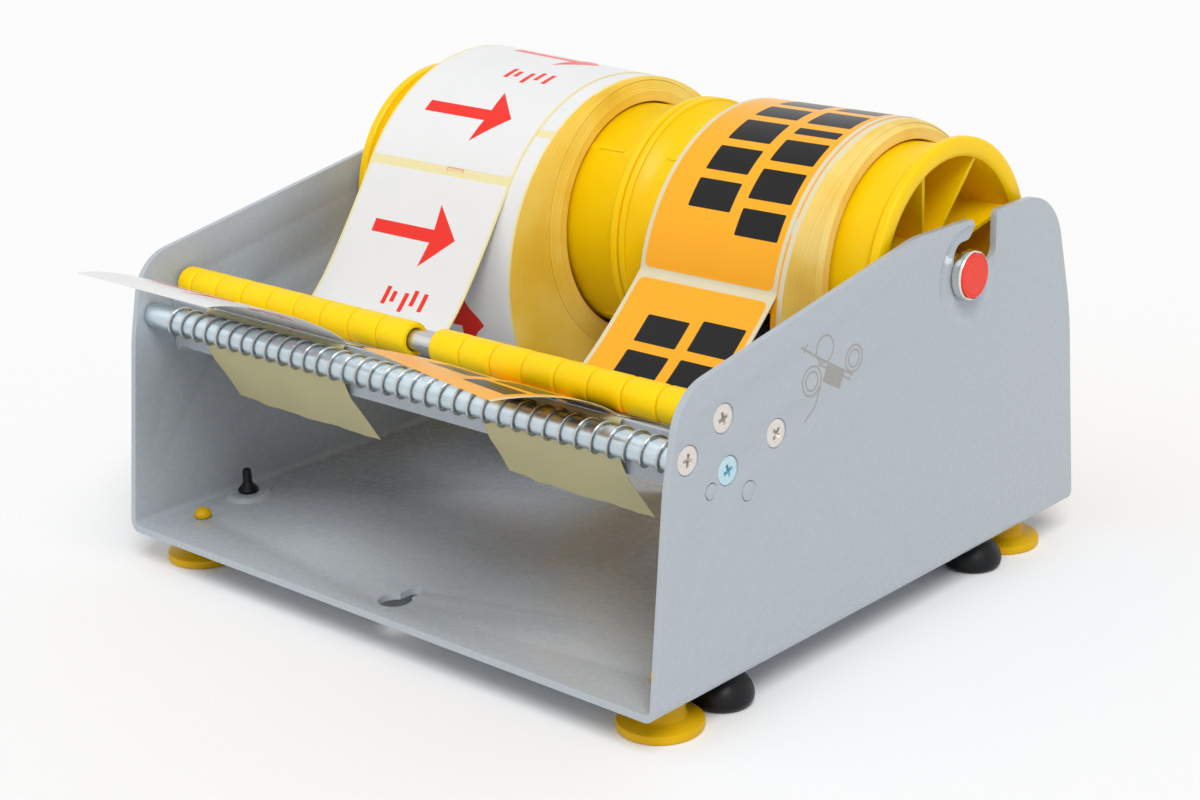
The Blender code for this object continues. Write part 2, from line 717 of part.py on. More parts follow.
bored_rod("press_rod", rod_radius, press_y, press_z)
bored_rod("guide_rod", rod_radius, guide_y, guide_z)
bored_rod("spring_rod", spring_rod_radius, spring_y, spring_z)
tube_start = rod_start + gap
tube_end = rod_end - gap
tube("guide_roller_tube", tube_zinc, rod_radius + gap, guide_tube_radius, tube_start, tube_end,
     guide_y, guide_z)
tube("spring_roller_tube", tube_zinc, spring_rod_radius + gap, spring_tube_radius, tube_start,
     tube_end, spring_y, spring_z)
ring_pitch = frame_width * ring_row_share / ring_count
for side, first_share in (("left", left_rings_share), ("right", right_rings_share)):
    for k in range(ring_count):
        start = first_share * frame_width + k * ring_pitch
        end = start + ring_pitch - gap
        bore = rod_radius + gap
        tube(f"{side}_press_ring_{k + 1}", hub_yellow, bore, ring_radius, start, end, press_y, press_z)
# One shorter ring fills the row between the left panel and the first full ring.
end_ring_start = end_ring_share * frame_width
end_ring_end = left_rings_share * frame_width - gap
tube("left_end_ring", hub_yellow, rod_radius + gap, ring_radius, end_ring_start, end_ring_end,
     press_y, press_z)

# Coil round the spring roller: one unbroken wire whose ends run straight for one wire diameter
coil_from, coil_to = lane_ends(coil_shares)
coil_pitch = (coil_to - coil_from) / coil_count
coil = []
for i in range(coil_count * coil_points + 1):
    angle = math.tau * i / coil_points
    along = coil_from + coil_pitch * i / coil_points
    coil.append(Vector((along, coil_radius * math.cos(angle), coil_radius * math.sin(angle))))
lead_in = (coil[0] - coil[1]).normalized() * 2 * wire_radius
lead_out = (coil[-1] - coil[-2]).normalized() * 2 * wire_radius
coil = [coil[0] + lead_in] + coil + [coil[-1] + lead_out]
closest = min(
    (coil[i] - coil[j]).length
    for i in range(len(coil))
    for j in range(i + coil_points // 2, min(i + 2 * coil_points, len(coil)))
)
print("spring least gap to itself, mm:", round((closest - 2 * wire_radius) * 1000, 3))
coil_data = bpy.data.curves.new("roller_spring", "CURVE")
coil_data.dimensions = "3D"
coil_data.bevel_depth = wire_radius
coil_data.bevel_resolution = 1
coil_data.use_fill_caps = True
coil_spline = coil_data.splines.new("POLY")
coil_spline.points.add(len(coil) - 1)
for point, spot in zip(coil_spline.points, coil):
    point.co = (*spot, 1)
spring_object = add_object("roller_spring", coil_data, spring_steel, place(0, spring_y, spring_z))
as_mesh(spring_object, spring_steel)

# Peel plate: a folded sheet with an end tab at each panel and two dowels in each tab
top_rear = on_line(plate_top, plate_rear_y)
under_line = plate_top - up * plate_sheet
plate_outline = [
    Vector((peel_y, plate_bottom_z)), on_line(plate_top, peel_y), top_rear,
    top_rear - up * plate_sheet, on_line(under_line, peel_y + plate_sheet),
    Vector((peel_y + plate_sheet, plate_bottom_z)),
]
plate = prism("peel_plate", painted_sheet, plate_outline, [], rod_start + gap, rod_end - gap)
for right in (False, True):
    tab_from, tab_to = rod_start, rod_start + plate_sheet
    pin_from, pin_to = head_sink, rod_start + dowel_sink
    if right:
        tab_from, tab_to = mirrored(tab_to), mirrored(tab_from)
        pin_from, pin_to = mirrored(pin_to), mirrored(pin_from)
    tab_hole = circle((plate_screw_y, plate_screw_z), rod_end_bore, 12)
    tab = prism("tab", None, rounded(tab_corners, True), [tab_hole], tab_from, tab_to)
    combine(plate, tab, "UNION")
    for y, z, radius in dowels:
        combine(plate, prism("dowel", None, circle((y, z), radius, 12), [], pin_from, pin_to), "UNION")

# Countersunk screws with a cross recess
for side, right in (("left", False), ("right", True)):
    for k, (name, y, z, length) in enumerate(screw_sites):
        screw_profile = [
            (head_sink, 0), (head_sink, head_radius), (head_rim, head_radius),
            (sheet, shank_radius), (length, shank_radius), (length, 0),
        ]
        screw = on_panel(f"{side}_{name}_screw", screw_nickel, screw_profile, y, z, right, 12)
        reach = cross_half_length
        half = cross_half_width
        cross = [(-reach, -half), (-half, -half), (-half, -reach), (half, -reach), (half, -half),
                 (reach, -half), (reach, half), (half, half), (half, reach), (-half, reach),
                 (-half, half), (-reach, half)]
        recess_from, recess_to = -overshoot, cross_depth
        if right:
            recess_from, recess_to = mirrored(recess_to), mirrored(recess_from)
        turn = Matrix.Rotation(math.radians(first_turn + turn_step * k), 2)
        moved = [Vector((y, z)) + turn @ Vector(corner) for corner in cross]
        combine(screw, prism("recess", None, moved, [], recess_from, recess_to), "DIFFERENCE")

bpy.context.view_layer.update()
print("sub-parts:", len(parts.objects))
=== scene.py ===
import math

import bmesh
import bpy
from mathutils import Matrix, Vector


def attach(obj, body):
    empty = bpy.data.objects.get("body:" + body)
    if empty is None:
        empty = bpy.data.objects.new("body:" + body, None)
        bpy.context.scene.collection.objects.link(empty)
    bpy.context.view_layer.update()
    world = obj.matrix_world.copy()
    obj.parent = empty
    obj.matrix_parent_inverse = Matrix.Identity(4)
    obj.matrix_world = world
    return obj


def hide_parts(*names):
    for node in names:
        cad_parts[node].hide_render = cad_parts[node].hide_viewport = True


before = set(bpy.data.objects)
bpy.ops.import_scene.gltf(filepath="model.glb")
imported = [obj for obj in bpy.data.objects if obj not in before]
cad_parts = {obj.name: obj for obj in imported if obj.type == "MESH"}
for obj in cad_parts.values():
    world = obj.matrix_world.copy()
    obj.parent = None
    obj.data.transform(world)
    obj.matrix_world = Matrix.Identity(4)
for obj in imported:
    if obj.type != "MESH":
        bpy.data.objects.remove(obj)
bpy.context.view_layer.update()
print("frame loaded:", len(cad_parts), "nodes")

# Sizes are in millimetres from the front left bottom corner of the folded sheet:
# x to the right, y to the back, z up. at() turns them into the part's own metres.
layout = {"middleX": 105.0, "middleY": 83.691, "floorUp": 10.6}


def at(x, y, z):
    return Vector((x - layout["middleX"], y - layout["middleY"], z + layout["floorUp"])) / 1000


# drawing and modelling helpers

def direction(degrees):
    return Vector((math.cos(math.radians(degrees)), math.sin(math.radians(degrees))))


def arcPoints(centre, radius, start, end, steps):
    return [Vector(centre) + radius * direction(start + (end - start) * i / steps)
            for i in range(steps + 1)]


def curvePoints(start, startHandle, endHandle, end, steps):
    points = []
    for i in range(steps + 1):
        t = i / steps
        s = 1 - t
        points.append(start * s ** 3 + startHandle * 3 * s * s * t
                      + endHandle * 3 * s * t * t + end * t ** 3)
    return points


def roundCorners(corners, closed, stepAngle=8):
    # corners are (u, v, fillet radius); each fillet gets a step about every stepAngle degrees
    points = []
    for i, (u, v, radius) in enumerate(corners):
        corner = Vector((u, v))
        if radius == 0 or (not closed and i in (0, len(corners) - 1)):
            points.append(corner)
            continue
        back = (Vector(corners[i - 1][:2]) - corner).normalized()
        ahead = (Vector(corners[(i + 1) % len(corners)][:2]) - corner).normalized()
        half = math.acos(max(-1, min(1, back.dot(ahead)))) / 2
        centre = corner + (back + ahead).normalized() * radius / math.sin(half)
        reach = radius / math.tan(half)
        start = corner + back * reach - centre
        end = corner + ahead * reach - centre
        turn = math.atan2(start.cross(end), start.dot(end))
        steps = max(3, int(abs(math.degrees(turn)) / stepAngle))
        for k in range(steps + 1):
            points.append(centre + Matrix.Rotation(turn * k / steps, 2) @ start)
    return points


def selectOnly(piece):
    bpy.ops.object.select_all(action="DESELECT")
    piece.select_set(True)
    bpy.context.view_layer.objects.active = piece


def drawLine(name, points, closed=False):
    # a plane merged to one vertex, then extruded from point to point; stays in edit mode
    bpy.ops.object.select_all(action="DESELECT")
    bpy.ops.mesh.primitive_plane_add(size=0.001, location=points[0])
    piece = bpy.context.object
    piece.name = name
    bpy.ops.object.transform_apply(location=True, rotation=True, scale=True)
    bpy.ops.object.mode_set(mode="EDIT")
    bpy.ops.mesh.select_all(action="SELECT")
    bpy.ops.mesh.merge(type="CENTER")
    for near, far in zip(points, points[1:]):
        bpy.ops.mesh.extrude_region_move(TRANSFORM_OT_translate={"value": far - near})
    if closed:
        form = bmesh.from_edit_mesh(piece.data)
        for vertex in form.verts:
            vertex.select_set(len(vertex.link_edges) < 2)
        form.select_flush(False)
        bmesh.update_edit_mesh(piece.data)
        bpy.ops.mesh.edge_face_add()
    bpy.ops.mesh.select_all(action="SELECT")
    return piece


def closeUp(mergeDistance=1e-6):
    bpy.ops.mesh.select_all(action="SELECT")
    bpy.ops.mesh.remove_doubles(threshold=mergeDistance)
    bpy.ops.mesh.normals_make_consistent(inside=False)
    bpy.ops.object.mode_set(mode="OBJECT")


def turnPiece(name, profile, centre, steps=64, upright=False):
    # profile is (along, radius) in millimetres, turned about X through centre, or about Z
    axis = Vector((0, 0, 1)) if upright else Vector((1, 0, 0))
    outward = Vector((1, 0, 0)) if upright else Vector((0, 0, 1))
    points = [centre + axis * along / 1000 + outward * radius / 1000 for along, radius in profile]
    ring = profile[0][1] > 0 and profile[-1][1] > 0
    piece = drawLine(name, points, closed=ring)
    bpy.ops.mesh.spin(steps=steps, angle=math.tau, center=centre, axis=axis)
    closeUp()
    return piece


def facing(profile, way):
    # the same profile seen from the left side (way 1) or from the right side (way -1)
    return [(along * way, radius) for along, radius in profile]


def extrudeFlat(name, outline, start, end):
    # a flat outline in y, z millimetres, filled and extruded across from x start to x end
    points = [at(start, u, v) for u, v in outline]
    piece = drawLine(name, points, closed=True)
    bpy.ops.mesh.edge_face_add()
    bpy.ops.mesh.extrude_region_move(
        TRANSFORM_OT_translate={"value": Vector(((end - start) / 1000, 0, 0))})
    closeUp(1e-7)
    return piece


def join(piece, tool, operation="UNION"):
    selectOnly(piece)
    step = piece.modifiers.new("join", "BOOLEAN")
    step.operation = operation
    step.solver = "EXACT"
    step.object = tool
    bpy.ops.object.modifier_apply(modifier=step.name)
    bpy.data.objects.remove(tool, do_unlink=True)


def roundEdges(piece, width, segments=2, angle=40):
    selectOnly(piece)
    step = piece.modifiers.new("round", "BEVEL")
    step.width = width / 1000
    step.segments = segments
    step.limit_method = "ANGLE"
    step.angle_limit = math.radians(angle)
    step.harden_normals = False
    bpy.ops.object.modifier_apply(modifier=step.name)


def finishPiece(piece, finishes, body, stands=(), smoothAngle=32):
    selectOnly(piece)
    bpy.ops.object.shade_smooth_by_angle(angle=math.radians(smoothAngle))
    for finish in finishes if isinstance(finishes, list) else [finishes]:
        piece.data.materials.append(finish)
    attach(piece, body)
    if stands:
        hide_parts(*stands)
    return piece


def copyPiece(piece, name, matrix=None):
    # a copy with its own mesh, moved in its mesh so that the object stays at the origin
    made = bpy.data.objects.new(name, piece.data.copy())
    bpy.context.scene.collection.objects.link(made)
    if matrix is not None:
        made.data.transform(matrix)
    return made


# material helpers

def colour(hexText):
    values = [int(hexText[i:i + 2], 16) / 255 for i in (0, 2, 4)]
    return tuple(v / 12.92 if v <= 0.04045 else ((v + 0.055) / 1.055) ** 2.4 for v in values) + (1,)


def addNode(tree, kind, settings=None, links=None):
    # adds a node, sets its properties, and gives each input a value or a link
    node = tree.nodes.new(kind)
    for key, value in (settings or {}).items():
        setattr(node, key, value)
    for key, value in (links or {}).items():
        if isinstance(value, bpy.types.NodeSocket):
            tree.links.new(value, node.inputs[key])
        else:
            node.inputs[key].default_value = value
    return node


def newFinish(name, baseColour, roughness, metallic=0.0, gloss=0.3):
    finish = bpy.data.materials.new(name)
    finish.use_nodes = True
    tree = finish.node_tree
    shader = tree.nodes["Principled BSDF"]
    shader.inputs["Base Color"].default_value = colour(baseColour)
    shader.inputs["Roughness"].default_value = roughness
    shader.inputs["Metallic"].default_value = metallic
    shader.inputs["Specular IOR Level"].default_value = gloss
    return finish, tree, shader


def objectPlace(tree, scale=(1, 1, 1), shift=(0, 0, 0)):
    place = addNode(tree, "ShaderNodeTexCoord").outputs["Object"]
    return addNode(tree, "ShaderNodeMapping", {"vector_type": "POINT"},
                   {"Vector": place, "Scale": scale, "Location": shift}).outputs[0]


def mottle(tree, shader, hexColours, scale, roughnessRange, bumpHeight=0.0, detail=3.0,
           stretch=(1, 1, 1)):
    # a fine noise that moves the colour between two tints, the roughness, and a small bump
    place = objectPlace(tree, stretch)
    noise = addNode(tree, "ShaderNodeTexNoise", {},
                    {"Vector": place, "Scale": scale, "Detail": detail, "Roughness": 0.55})
    tint = addNode(tree, "ShaderNodeMix", {"data_type": "RGBA"},
                   {"Factor": noise.outputs["Fac"], 6: colour(hexColours[0]), 7: colour(hexColours[1])})
    tree.links.new(tint.outputs[2], shader.inputs["Base Color"])
    rough = addNode(tree, "ShaderNodeMapRange", {}, {"Value": noise.outputs["Fac"], "From Min": 0.3,
                    "From Max": 0.7, "To Min": roughnessRange[0], "To Max": roughnessRange[1]})
    tree.links.new(rough.outputs[0], shader.inputs["Roughness"])
    if bumpHeight:
        bump = addNode(tree, "ShaderNodeBump", {}, {"Height": noise.outputs["Fac"],
                       "Strength": 0.35, "Distance": bumpHeight / 1000})
        tree.links.new(bump.outputs[0], shader.inputs["Normal"])
    return tint


def boxDistance(tree, position, centre, half, corner):
    # signed distance in millimetres to a rounded box in the xy plane
    moved = addNode(tree, "ShaderNodeVectorMath", {"operation": "SUBTRACT"},
                    {0: position, 1: (centre[0], centre[1], 0)}).outputs[0]
    folded = addNode(tree, "ShaderNodeVectorMath", {"operation": "ABSOLUTE"}, {0: moved}).outputs[0]
    inset = addNode(tree, "ShaderNodeVectorMath", {"operation": "SUBTRACT"},
                    {0: folded, 1: (half[0] - corner, half[1] - corner, 0)}).outputs[0]
    clipped = addNode(tree, "ShaderNodeVectorMath", {"operation": "MAXIMUM"},
                      {0: inset, 1: (0, 0, 0)}).outputs[0]
    length = addNode(tree, "ShaderNodeVectorMath", {"operation": "LENGTH"}, {0: clipped}).outputs[1]
    return addNode(tree, "ShaderNodeMath", {"operation": "SUBTRACT"}, {0: length, 1: corner}).outputs[0]


def nearest(tree, distances):
    found = distances[0]
    for other in distances[1:]:
        found = addNode(tree, "ShaderNodeMath", {"operation": "MINIMUM"}, {0: found, 1: other}).outputs[0]
    return found


def inkMask(tree, distance, softness=0.06):
    return addNode(tree, "ShaderNodeMapRange", {}, {"Value": distance, "From Min": softness,
                   "From Max": -softness, "To Min": 0.0, "To Max": 1.0}).outputs[0]


# finishes

# Powder coat on steel sheet: sprayed and baked polyester. It gives a satin light grey with a fine
# orange peel, about 1.5 mm between its waves, and a little grit.
powderCoat, powderTree, powderShader = newFinish("powderCoatGrey", "AAB2BA", 0.26, 0.0, 0.4)
powderTint = mottle(powderTree, powderShader, ("ADB5BC", "B1B9C0"), 420, (0.24, 0.30), 0.0, 2.0)
waves = addNode(powderTree, "ShaderNodeTexNoise", {}, {"Vector": objectPlace(powderTree), "Scale": 650,
                "Detail": 1.0, "Roughness": 0.5})
orangePeel = addNode(powderTree, "ShaderNodeBump", {}, {"Height": waves.outputs["Fac"], "Strength": 0.12,
                     "Distance": 0.00003})
powderTree.links.new(orangePeel.outputs[0], powderShader.inputs["Normal"])

# Injection moulded ABS in signal yellow: satin, with a faint flow texture. Light passes a little
# way into the hubs' thin walls, so their insides glow.
hubYellow, tree, shader = newFinish("mouldedYellow", "F9D000", 0.34, 0.0, 0.2)
mottle(tree, shader, ("FAC900", "FFD300"), 90, (0.30, 0.40), 0.02)
shader.inputs["Subsurface Weight"].default_value = 0.25
shader.inputs["Subsurface Scale"].default_value = 0.004
shader.inputs["Subsurface Radius"].default_value = (1.0, 0.75, 0.05)
ringYellow, tree, shader = newFinish("mouldedRingYellow", "FFD400", 0.38, 0.0, 0.2)
mottle(tree, shader, ("FFD200", "FFDA02"), 160, (0.34, 0.46), 0.02)
# Moulded polyethylene for the feet: waxy and slightly darker.
footYellow, tree, shader = newFinish("waxyYellow", "DAAA00", 0.42, 0.0, 0.2)
mottle(tree, shader, ("D4A400", "E2B400"), 120, (0.38, 0.5), 0.02)
# The caps are moulded too, in red, with a spark-eroded grain.
capRed, tree, shader = newFinish("mouldedRed", "EE4538", 0.42, 0.0, 0.2)
mottle(tree, shader, ("E93E33", "F3503F"), 500, (0.36, 0.5), 0.02)
# Polished chrome plate on turned brass: mirror bright.
chrome, tree, shader = newFinish("chromePlate", "E6E5E2", 0.10, 1.0)
mottle(tree, shader, ("DEDCD8", "ECEBE9"), 200, (0.06, 0.14))
# Bright drawn steel rod: fine lines along the bar.
drawnSteel, tree, shader = newFinish("drawnSteel", "C2C4C4", 0.26, 1.0)
mottle(tree, shader, ("A9A9A8", "D6D8D8"), 900, (0.2, 0.36), 0.01, 4.0, (0.03, 1, 1))
# Blue passivated zinc on the roller tubes: cool, bright, with cloudy bands along the tube.
blueZinc, tree, shader = newFinish("blueZinc", "C9D8E0", 0.22, 1.0)
mottle(tree, shader, ("A9BBC4", "D9E5EB"), 420, (0.26, 0.42), 0.01, 5.0, (0.12, 1, 1))
# Stainless spring wire, drawn bright.
springWire, tree, shader = newFinish("springWire", "C9CAC8", 0.2, 1.0)
mottle(tree, shader, ("A7A9A8", "DADBD9"), 700, (0.14, 0.28))
# Nickel plated screws, warm and lightly pitted; the plate's own screws are blue zinc.
nickel, tree, shader = newFinish("nickelPlate", "E2DCD6", 0.3, 0.85)
mottle(tree, shader, ("D3CCC5", "ECE7E2"), 900, (0.24, 0.42), 0.02)
screwZinc, tree, shader = newFinish("screwZinc", "C3E0EA", 0.26, 0.85)
mottle(tree, shader, ("ACCFDC", "D5EEF5"), 900, (0.2, 0.38), 0.02)
# Moulded black rubber: satin with a dusty bloom.
blackRubber, tree, shader = newFinish("blackRubber", "0C0D0E", 0.4, 0.0, 0.25)
mottle(tree, shader, ("08090A", "121315"), 150, (0.32, 0.5), 0.02)
# Glassine release liner: greenish cream, smooth, a little clouded.
linerPaper, tree, shader = newFinish("glassineLiner", "C9C596", 0.5)
mottle(tree, shader, ("B7B083", "C4BD93"), 55, (0.42, 0.58), 0.02, 5.0)
# Back of the label with its dried adhesive: greyer and duller than the liner.
labelBack, tree, shader = newFinish("labelBack", "DAD8CC", 0.55)
mottle(tree, shader, ("D2D0C2", "E1DFD4"), 60, (0.5, 0.62), 0.02, 4.0)


def paperEdge(name, centre, tints):
    # Cut edges of wound paper: hundreds of turns 0.12 mm apart, too fine to show, so they are
    # drawn as soft lines about 0.5 mm apart
    finish, tree, shader = newFinish(name, tints[1], 0.62)
    place = addNode(tree, "ShaderNodeTexCoord").outputs["Object"]
    flat = addNode(tree, "ShaderNodeVectorMath", {"operation": "SUBTRACT"}, {0: place, 1: centre}).outputs[0]
    flat = addNode(tree, "ShaderNodeVectorMath", {"operation": "MULTIPLY"},
                   {0: flat, 1: (0, 1000, 1000)}).outputs[0]
    radius = addNode(tree, "ShaderNodeVectorMath", {"operation": "LENGTH"}, {0: flat}).outputs[1]
    lines = addNode(tree, "ShaderNodeTexNoise", {"noise_dimensions": "1D"},
                    {"W": radius, "Scale": 2.2, "Detail": 3.0, "Roughness": 0.7})
    cloud = addNode(tree, "ShaderNodeTexNoise", {}, {"Vector": place, "Scale": 45, "Detail": 2.0})
    both = addNode(tree, "ShaderNodeMath", {"operation": "MULTIPLY_ADD"},
                   {0: lines.outputs["Fac"], 1: 0.45, 2: cloud.outputs["Fac"]}).outputs[0]
    ramp = addNode(tree, "ShaderNodeValToRGB", {}, {"Fac": both})
    ramp.color_ramp.elements[0].position = 0.42
    ramp.color_ramp.elements[0].color = colour(tints[0])
    ramp.color_ramp.elements[1].position = 0.92
    ramp.color_ramp.elements[1].color = colour(tints[2])
    middle = ramp.color_ramp.elements.new(0.66)
    middle.color = colour(tints[1])
    tree.links.new(ramp.outputs[0], shader.inputs["Base Color"])
    bump = addNode(tree, "ShaderNodeBump", {}, {"Height": lines.outputs["Fac"], "Strength": 0.3,
                   "Distance": 0.00006})
    tree.links.new(bump.outputs[0], shader.inputs["Normal"])
    return finish


def labelPaper(name, sizes):
    # Coated label paper on its liner. The pattern follows the web's own UV map, in millimetres:
    # u across the web and v along it. sizes says where each label and its printed marks lie.
    finish, tree, shader = newFinish(name, sizes["paper"], 0.42, 0.0, 0.22)
    across = addNode(tree, "ShaderNodeUVMap", {"uv_map": "run"}).outputs[0]
    across = addNode(tree, "ShaderNodeVectorMath", {"operation": "SCALE"},
                     {0: across, "Scale": 1000}).outputs[0]
    parts = addNode(tree, "ShaderNodeSeparateXYZ", {}, {0: across})
    pitch = sizes["pitch"]
    along = addNode(tree, "ShaderNodeMath", {"operation": "SUBTRACT"},
                    {0: parts.outputs[1], 1: sizes["gapAt"]}).outputs[0]
    wrapped = addNode(tree, "ShaderNodeMath", {"operation": "WRAP"},
                      {0: along, 1: pitch, 2: 0.0}).outputs[0]
    place = addNode(tree, "ShaderNodeCombineXYZ", {}, {0: parts.outputs[0], 1: wrapped}).outputs[0]
    left, right = sizes["label"]
    label = boxDistance(tree, place, ((left + right) / 2, pitch / 2),
                        ((right - left) / 2, pitch / 2 - sizes["gap"] / 2), sizes["corner"])
    labelMask = inkMask(tree, label, 0.12)
    marks = [boxDistance(tree, place, centre, half, corner) for centre, half, corner in sizes["marks"]]
    for tipX, middleV, length, halfWidth in sizes.get("arrows", []):
        # an arrow head: inside two slanting edges and ahead of its back
        mirrored = addNode(tree, "ShaderNodeMath", {"operation": "SUBTRACT"},
                           {0: wrapped, 1: middleV}).outputs[0]
        mirrored = addNode(tree, "ShaderNodeMath", {"operation": "ABSOLUTE"}, {0: mirrored}).outputs[0]
        slope = halfWidth / length
        ahead = addNode(tree, "ShaderNodeMath", {"operation": "SUBTRACT"},
                        {0: parts.outputs[0], 1: tipX}).outputs[0]
        edge = addNode(tree, "ShaderNodeMath", {"operation": "MULTIPLY_ADD"},
                       {0: ahead, 1: slope, 2: mirrored}).outputs[0]
        edge = addNode(tree, "ShaderNodeMath", {"operation": "MULTIPLY"},
                       {0: edge, 1: 1 / math.sqrt(1 + slope * slope)}).outputs[0]
        back = addNode(tree, "ShaderNodeMath", {"operation": "SUBTRACT"},
                       {0: tipX - length, 1: parts.outputs[0]}).outputs[0]
        back = addNode(tree, "ShaderNodeMath", {"operation": "MULTIPLY_ADD"},
                       {0: mirrored, 1: -0.12, 2: back}).outputs[0]
        head = addNode(tree, "ShaderNodeMath", {"operation": "MAXIMUM"}, {0: edge, 1: back})
        marks.append(head.outputs[0])
    ink = inkMask(tree, nearest(tree, marks))
    fibre = addNode(tree, "ShaderNodeTexNoise", {}, {"Vector": objectPlace(tree), "Scale": 70,
                    "Detail": 4.0, "Roughness": 0.6})
    paper = addNode(tree, "ShaderNodeMix", {"data_type": "RGBA"}, {"Factor": fibre.outputs["Fac"],
                    6: colour(sizes["paper"]), 7: colour(sizes["paperDark"])}).outputs[2]
    liner = addNode(tree, "ShaderNodeMix", {"data_type": "RGBA"}, {"Factor": fibre.outputs["Fac"],
                    6: colour(sizes["liner"]), 7: colour(sizes["linerDark"])}).outputs[2]
    base = addNode(tree, "ShaderNodeMix", {"data_type": "RGBA"},
                   {"Factor": labelMask, 6: liner, 7: paper}).outputs[2]
    printed = addNode(tree, "ShaderNodeMix", {"data_type": "RGBA"},
                      {"Factor": ink, 6: base, 7: colour(sizes["ink"])}).outputs[2]
    for centre, half, hexText in sizes.get("frames", []):
        # a thin outlined box, the register mark between two labels
        outline = boxDistance(tree, place, centre, half, 0.2)
        outline = addNode(tree, "ShaderNodeMath", {"operation": "ABSOLUTE"}, {0: outline}).outputs[0]
        outline = addNode(tree, "ShaderNodeMath", {"operation": "SUBTRACT"},
                          {0: outline, 1: 0.15}).outputs[0]
        printed = addNode(tree, "ShaderNodeMix", {"data_type": "RGBA"},
                          {"Factor": inkMask(tree, outline, 0.1), 6: printed, 7: colour(hexText)}).outputs[2]
    tree.links.new(printed, shader.inputs["Base Color"])
    rough = addNode(tree, "ShaderNodeMapRange", {}, {"Value": ink, "To Min": 0.28, "To Max": 0.26})
    tree.links.new(rough.outputs[0], shader.inputs["Roughness"])
    height = addNode(tree, "ShaderNodeMath", {"operation": "MULTIPLY_ADD"},
                     {0: fibre.outputs["Fac"], 1: 0.12, 2: labelMask}).outputs[0]
    bump = addNode(tree, "ShaderNodeBump", {}, {"Height": height, "Strength": 0.5, "Distance": 0.00008})
    tree.links.new(bump.outputs[0], shader.inputs["Normal"])
    return finish


# v of the gap between two labels, where the web leaves the roll, is 181 mm on both webs
whitePrint = {
    "paper": "EAEAEA", "paperDark": "E4E5E6", "liner": "F0E6B4", "linerDark": "E6DAA0",
    "ink": "EE2A1C", "pitch": 82.8, "gapAt": 181.2, "gap": 3.0, "label": (22.9, 81.1), "corner": 1.0,
    # two arrow shafts, then five short bars in the place of a line of print
    "marks": [
        ((47.5, 20.7), (13.6, 2.1), 0.1), ((47.5, 62.1), (13.6, 2.1), 0.1),
        ((51.5, 41.4), (0.9, 3.0), 0.1), ((54.6, 41.4), (0.9, 1.8), 0.1), ((59.5, 42.6), (0.9, 3.2), 0.1),
        ((63.0, 40.6), (0.9, 2.6), 0.1), ((67.2, 41.4), (0.9, 3.0), 0.1),
    ],
    "arrows": [(69.2, 20.7, 9.6, 9.0), (69.2, 62.1, 9.6, 9.0)],
    "frames": [((58.6, 82.5), (3.4, 0.9), "D98C80")],
}
# each row of blocks: its centre across the web, where it starts along it, and its blocks' lengths
blockRows = {
    "rows": ((152.6, 12.5, (9, 10, 8, 10, 9, 9)), (171.3, 11.0, (10, 9, 10, 3.4, 9, 10, 8))),
    "halfWidth": 7.4, "gap": 3.0, "corner": 0.5,
}
blocks = []
for rowCentre, rowStart, blockLengths in blockRows["rows"]:
    blockStart = rowStart
    for blockLength in blockLengths:
        blocks.append(((rowCentre, blockStart + blockLength / 2),
                       (blockRows["halfWidth"], blockLength / 2), blockRows["corner"]))
        blockStart += blockLength + blockRows["gap"]
orangePrint = {
    "paper": "FFB424", "paperDark": "FDAD1A", "liner": "E4DCC0", "linerDark": "D8CFAC",
    "ink": "070709", "pitch": 103.0, "gapAt": 181.5, "gap": 3.2, "label": (135.4, 180.7), "corner": 2.0,
    "marks": blocks,
}
whiteLabel = labelPaper("printedWhiteLabel", whitePrint)
orangeLabel = labelPaper("printedOrangeLabel", orangePrint)
print("finishes made")

# folded frame
sheetSizes = {
    "width": 210.0, "thickness": 2.0, "outerBend": 3.7, "edgeRound": 0.5, "overrun": 1.0,
    "front": [(0.0, -1.0, 0), (0.0, 0.0, 0), (6.9, 59.0, 60), (11.9, 82.3, 15), (109.5, 100.0, 20),
              (136.8, 99.7, 2.5), (136.8, 94.0, 2.7), (128.2, 93.8, 4)],
    "rear": [(147.4, 87.6, 4), (147.4, 99.8, 2), (178.1, 99.9, 19), (188.0, 61.5, 80), (193.2, 0.0, 0),
             (193.2, -1.0, 0)],
    "seat": (133.5, 84.6), "seatRadius": 5.3, "dishRadius": 13.5,
    "channelTop": 102.0, "channelFrom": -2.0, "channelLength": 198.0,
    "keyhole": (106.0, 10.5, 4.8), "keyholeEnd": (18.0, 2.4), "keyholeCut": (-2.0, 6.0),
    "embossRadius": 7.6, "embossHeight": 1.3, "cupHole": 2.5, "footHole": 2.3,
    "headHole": 4.0, "threadHole": 1.8, "dowelGap": 0.12,
}
rodPlaces = {"press": (27.9, 72.1), "guide": (48.7, 62.4), "spring": (14.3, 65.1), "plate": (29.5, 58.1)}
dowelPlaces = ((23.0, 54.5, 2.0), (37.6, 50.3, 2.5))  # y, z and radius
footPlaces = {"inset": 13.3, "front": 17.2, "rear": 174.8}
cupPlaces = {"inset": 10.0, "front": 37.8, "rear": 154.4}


def bothSides(inset):
    return (("left", inset), ("right", sheetSizes["width"] - inset))


